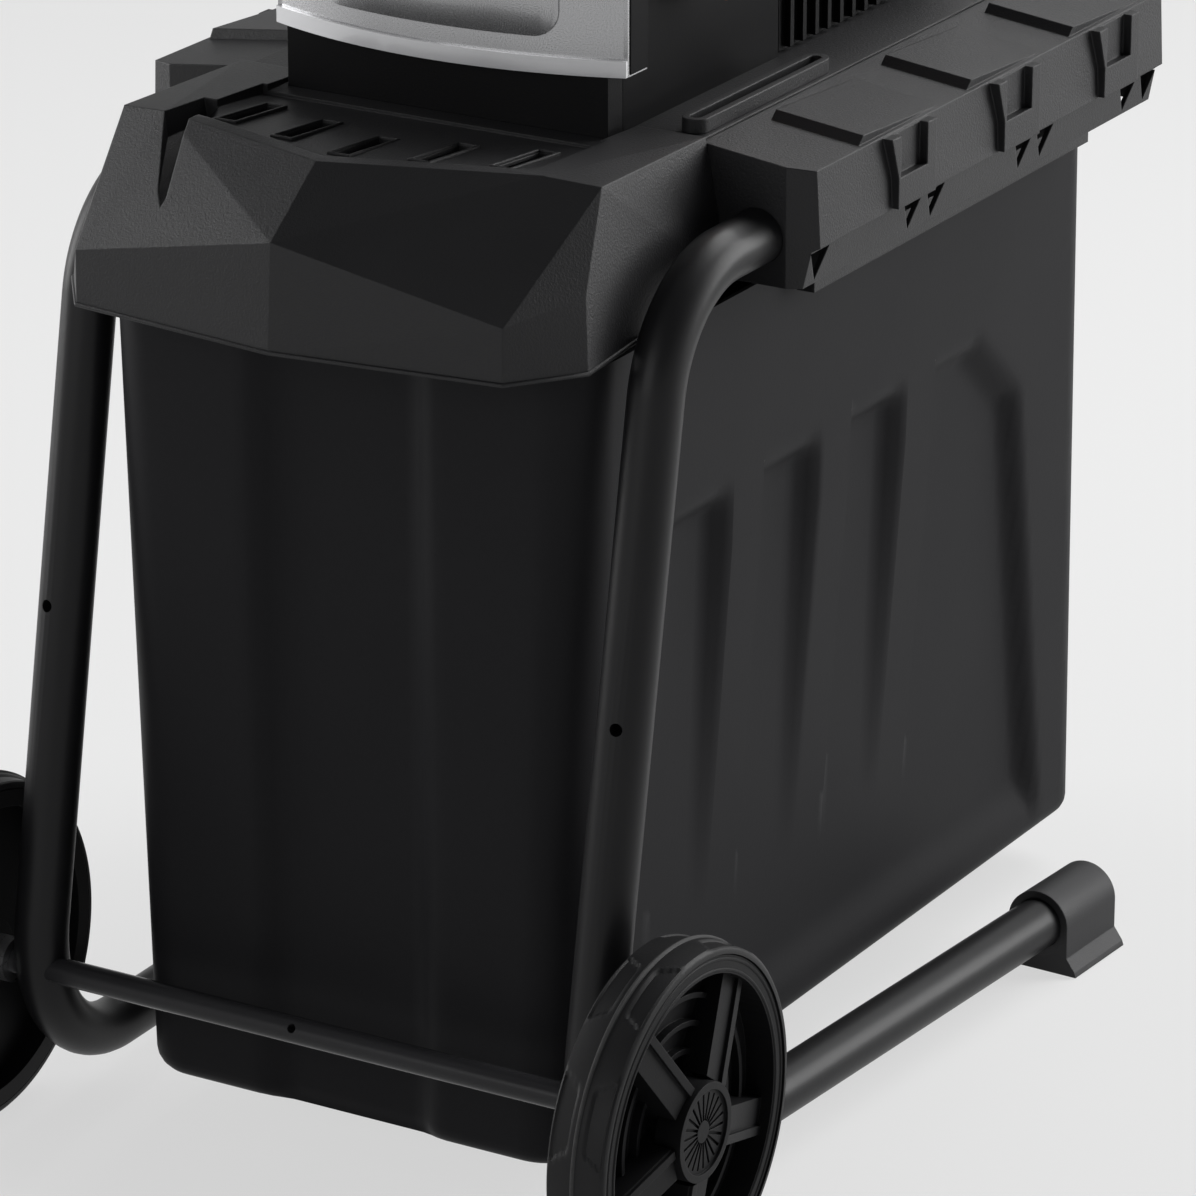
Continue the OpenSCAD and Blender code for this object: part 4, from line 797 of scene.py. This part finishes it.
def vent_frame(name, place):
    """A raised rim round a slot with a grille in it, lying on the sloping field."""
    clear_selection()
    bpy.ops.mesh.primitive_plane_add(size=1, location=(0, 0, 0))
    frame = bpy.context.object
    frame.scale = (VENT_W + 2 * VENT_RIM, VENT_L + 2 * VENT_RIM, 1)
    settle(frame)
    bpy.ops.object.mode_set(mode="EDIT")
    bpy.ops.mesh.select_all(action="SELECT")
    bpy.ops.mesh.inset(thickness=VENT_RIM, depth=0)
    bpy.ops.mesh.delete(type="FACE")
    bpy.ops.mesh.select_all(action="SELECT")
    bpy.ops.mesh.extrude_region_move(TRANSFORM_OT_translate={"value": (0, 0, VENT_RISE)})
    pick(frame, lambda co, n: co.z > VENT_RISE - 0.1 * MM and abs(n.z) > 0.9, "FACE")
    bpy.ops.mesh.bevel(offset=0.4 * MM, segments=2, affect="EDGES")
    bpy.ops.mesh.select_all(action="SELECT")
    bpy.ops.mesh.normals_make_consistent(inside=False)
    bpy.ops.object.mode_set(mode="OBJECT")
    clear_selection()
    bpy.ops.mesh.primitive_grid_add(x_subdivisions=4, y_subdivisions=20, size=1,
                                    location=(0, 0, -GRILLE_DEPTH))
    grille = bpy.context.object
    grille.scale = (VENT_W, VENT_L, 1)
    settle(grille)
    bars = grille.modifiers.new("bars", "WIREFRAME")
    bars.thickness, bars.use_boundary, bars.use_even_offset = GRILLE_BAR, True, False
    bpy.ops.object.modifier_apply(modifier="bars")
    grille.data.materials.append(PANEL)
    frame.data.materials.append(GRAINED)
    frame.select_set(True)
    bpy.context.view_layer.objects.active = frame
    bpy.ops.object.join()
    frame.name = name
    frame.data.transform(Matrix.Translation(place) @ Matrix.Rotation(VENT_TILT, 4, "X"))
    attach(frame, "chassis")
    return frame


VENTS = 5
for i in range(VENTS):
    x = VENT_SPAN * (2 * i / (VENTS - 1) - 1)
    y = axle_y + VENT_FRONT + abs(x) * VENT_LEAN + VENT_L / 2
    made = vent_frame(f"vent_frame_{i + 1}", (x, y, VENT_TOP - MM))
    print(made.name, len(made.data.polygons), "faces")

# %% [markdown]
# ## The fairing's inlay
# Low on the silver fairing a field with rounded corners is set off from the shell. It is cut as a flat
# plate, its corners rounded by a vertex bevel, cut into strips so that it can follow the bow, laid on the
# fairing's curve and given a thickness.

# %% Lay the inlay on the bow
bow_low, bow_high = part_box("front_fairing")
BOW = 21 * MM
half_w = bow_high.x
bow_r = (half_w ** 2 + BOW ** 2) / (2 * BOW)
clear_selection()
INLAY_W, INLAY_H, INLAY_UP, STRIPS = 146 * MM, 58 * MM, 19 * MM, 16
INLAY_ROUND, INLAY_T, INLAY_EDGE, INLAY_LIFT = 14 * MM, 1 * MM, 0.4 * MM, 0.2 * MM
bpy.ops.mesh.primitive_plane_add(size=1, location=(0, 0, 0), rotation=(math.pi / 2, 0, 0))
inlay = bpy.context.object
inlay.name = "fairing_inlay"
inlay.scale = (INLAY_W, INLAY_H, 1)
settle(inlay)
bpy.ops.object.mode_set(mode="EDIT")
bpy.ops.mesh.select_all(action="SELECT")
bpy.ops.mesh.bevel(offset=INLAY_ROUND, segments=6, affect="VERTICES")
for i in range(1, STRIPS):
    bpy.ops.mesh.select_all(action="SELECT")
    bpy.ops.mesh.bisect(plane_co=((i / STRIPS - 0.5) * INLAY_W, 0, 0), plane_no=(1, 0, 0))
bpy.ops.mesh.select_all(action="SELECT")
bpy.ops.transform.translate(value=(0, 0, bow_low.z + INLAY_UP + INLAY_H / 2))
bpy.ops.object.mode_set(mode="OBJECT")
for v in inlay.data.vertices:
    v.co.y = bow_low.y + bow_r - math.sqrt((bow_r + INLAY_LIFT) ** 2 - v.co.x ** 2)
thick = inlay.modifiers.new("thickness", "SOLIDIFY")
thick.thickness, thick.offset = INLAY_T, 1.0
rim = inlay.modifiers.new("rim", "BEVEL")
rim.width, rim.segments, rim.limit_method = INLAY_EDGE, 2, "ANGLE"
bpy.ops.object.modifier_apply(modifier="thickness")
bpy.ops.object.modifier_apply(modifier="rim")
bpy.ops.object.mode_set(mode="EDIT")
bpy.ops.mesh.select_all(action="SELECT")
bpy.ops.mesh.normals_make_consistent(inside=False)
bpy.ops.object.mode_set(mode="OBJECT")
bpy.ops.object.shade_smooth_by_angle(angle=math.radians(30))
inlay.data.materials.append(SILVER)
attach(inlay, "chassis")
print("inlay:", [round(v, 3) for v in inlay.dimensions], "m")

# %% Close the fairing's ends with dark strips
STRIP = 0.6 * MM
for sign in (-1, 1):
    ends = sorted((sign * (half_w - STRIP), sign * (half_w + STRIP)))
    strip = trim_block("fairing_end_" + ("left" if sign < 0 else "right"),
                       (ends[0], bow_low.y + BOW + MM, bow_low.z + MM),
                       (ends[1], bow_high.y, bow_high.z - MM), 0.3 * MM)
    strip.data.materials.append(PANEL)
    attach(strip, "chassis")
    print(strip.name, [round(v, 4) for v in strip.dimensions], "m")

# %% [markdown]
# ## Screws
# Pan-head screws close the motor cover and the hopper's flange. One screw is shaped from a cylinder: its
# top edge rounded, then a round drive is sunk in it by insetting and pushing down the middle face.

# %% Shape one screw and copy it
HEAD_R, HEAD_T, HEAD_ROUND = 4.2 * MM, 2.4 * MM, 0.9 * MM


def screw_at(name, place, way):
    """A pan-head screw with its head's base at a place, facing a direction."""
    clear_selection()
    bpy.ops.mesh.primitive_cylinder_add(vertices=24, radius=HEAD_R, depth=HEAD_T,
                                        location=(0, 0, HEAD_T / 2))
    obj = bpy.context.object
    obj.name = name
    settle(obj)
    bpy.ops.object.mode_set(mode="EDIT")
    pick(obj, lambda co, n: n.z > 0.9, "FACE")
    bpy.ops.mesh.bevel(offset=HEAD_ROUND, segments=3, affect="EDGES")
    pick(obj, lambda co, n: n.z > 0.99 and co.z > HEAD_T - 0.1 * MM, "FACE")
    bpy.ops.mesh.inset(thickness=0.8 * MM, depth=0)
    bpy.ops.mesh.inset(thickness=0.4 * MM, depth=-0.9 * MM)
    bpy.ops.object.mode_set(mode="OBJECT")
    facing = Vector(way).to_track_quat("Z", "Y").to_matrix().to_4x4()
    obj.data.transform(Matrix.Translation(place) @ facing)
    bpy.ops.object.shade_smooth_by_angle(angle=math.radians(32))
    obj.data.materials.append(STEEL)
    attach(obj, "chassis")
    return obj


cover_low, cover_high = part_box("motor_cover")
FLANGE_Z, COVER_X, FLANGE_X = 784 * MM, 84 * MM, 98 * MM
COVER_RISES = (12 * MM, 95 * MM)
panel_low, panel_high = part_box("head_panel_right")
places = [((x, cover_high.y, cover_low.z + rise), (0, 1, 0)) for x in (-COVER_X, COVER_X)
          for rise in COVER_RISES]
places += [((x, y, FLANGE_Z), (0, 0, 1)) for x in (-FLANGE_X, FLANGE_X)
           for y in (panel_low.y + 8 * MM, panel_high.y - 10 * MM)]
for sign in (-1, 1):
    places += [((sign * panel_high.x, y, z), (sign, 0, 0))
               for y in (panel_low.y + 12 * MM, panel_high.y - 12 * MM)
               for z in (panel_low.z + 60 * MM, panel_high.z - 14 * MM)]
screws = [screw_at(f"cover_screw_{i + 1}", place, way) for i, (place, way) in enumerate(places)]
print("screws:", len(screws))

# %% [markdown]
# ## Floor and light
# The picture was taken on a pale sweep with large soft lights to both sides and above the back, and only
# a little light from the front: the box's front is the darkest of the large faces. The sweep is a floor and
# a world that look the same flat pale grey to the camera and to reflections, while the lamps do the work.

# %% Lay the floor
PALE = 0.83
FLOOR_GREY, FLOOR_SHARE = 0.68, 0.75


def pale_backdrop(tree, output, lit, share, mirrored=1.0):
    """Adds a share of the backdrop's own colour for camera, mirror and glass rays; the rest stays lit."""
    path = tree.nodes.new("ShaderNodeLightPath")
    rays = [Amount(tree, path.outputs[f"Is {kind} Ray"]) for kind in ("Camera", "Glossy", "Transmission")]
    seen = (rays[0] + (rays[1] + rays[2]) * mirrored).least(1.0) * share
    glow = tree.nodes.new("ShaderNodeEmission")
    glow.inputs["Color"].default_value = (PALE, PALE, PALE, 1)
    choose = tree.nodes.new("ShaderNodeMixShader")
    tree.links.new(seen.socket, choose.inputs["Fac"])
    tree.links.new(lit, choose.inputs[1])
    tree.links.new(glow.outputs[0], choose.inputs[2])
    tree.links.new(choose.outputs[0], output)


clear_selection()
bpy.ops.mesh.primitive_plane_add(size=14, location=(0, 0, -0.0005))
floor = bpy.context.object
floor.name = "pale_floor"
sweep = bpy.data.materials.new("pale_sweep")
sweep.use_nodes = True
matte = sweep.node_tree.nodes["Principled BSDF"]
matte.inputs["Base Color"].default_value = (FLOOR_GREY, FLOOR_GREY, FLOOR_GREY, 1)
matte.inputs["Roughness"].default_value = 0.9
pale_backdrop(sweep.node_tree, sweep.node_tree.nodes["Material Output"].inputs["Surface"],
              matte.outputs[0], FLOOR_SHARE)
floor.data.materials.append(sweep)
print("floor:", floor.name, [round(v, 1) for v in floor.dimensions])

# %% Light the studio
world = bpy.data.worlds.new("studio_world")
bpy.context.scene.world = world
world.use_nodes = True
ambient = world.node_tree.nodes["Background"]
ambient.inputs["Color"].default_value = (0.75, 0.76, 0.78, 1)
ambient.inputs["Strength"].default_value = 0.16
aim = world.node_tree.nodes.new("ShaderNodeTexCoord").outputs["Generated"]
parts = world.node_tree.nodes.new("ShaderNodeSeparateXYZ")
world.node_tree.links.new(aim, parts.inputs[0])
height = Amount(world.node_tree, parts.outputs["Z"])
# Reflections see the sweep pale near the floor and dark higher up
SWEEP_FROM, SWEEP_FALL, SWEEP_LEAST = 0.05, 2.6, 0.06
low_sweep = (1.0 - (height - SWEEP_FROM) * SWEEP_FALL).least(1.0).most(SWEEP_LEAST)
pale_backdrop(world.node_tree, world.node_tree.nodes["World Output"].inputs["Surface"],
              ambient.outputs[0], 1.0, low_sweep)


def softbox(name, place, aim, size, watts):
    """A rectangular lamp that faces a point."""
    data = bpy.data.lights.new(name, "AREA")
    data.shape, data.size, data.size_y, data.energy = "RECTANGLE", size[0], size[1], watts
    lamp = bpy.data.objects.new(name, data)
    bpy.context.scene.collection.objects.link(lamp)
    lamp.location = place
    lamp.rotation_euler = (Vector(aim) - Vector(place)).to_track_quat("-Z", "Y").to_euler()
    return lamp


middle = (0, 0, 0.45)
softbox("right_box", (2.1, 2.3, 1.4), middle, (1.6, 2.2), 92)
softbox("left_box", (-2.7, -0.5, 1.2), middle, (1.4, 2.2), 54)
softbox("back_top_box", (0.4, 2.0, 2.8), middle, (2.4, 1.4), 72)
softbox("front_fill", (-0.6, -3.4, 1.6), middle, (2.2, 1.6), 21)
bpy.context.scene.view_settings.view_transform = "Standard"
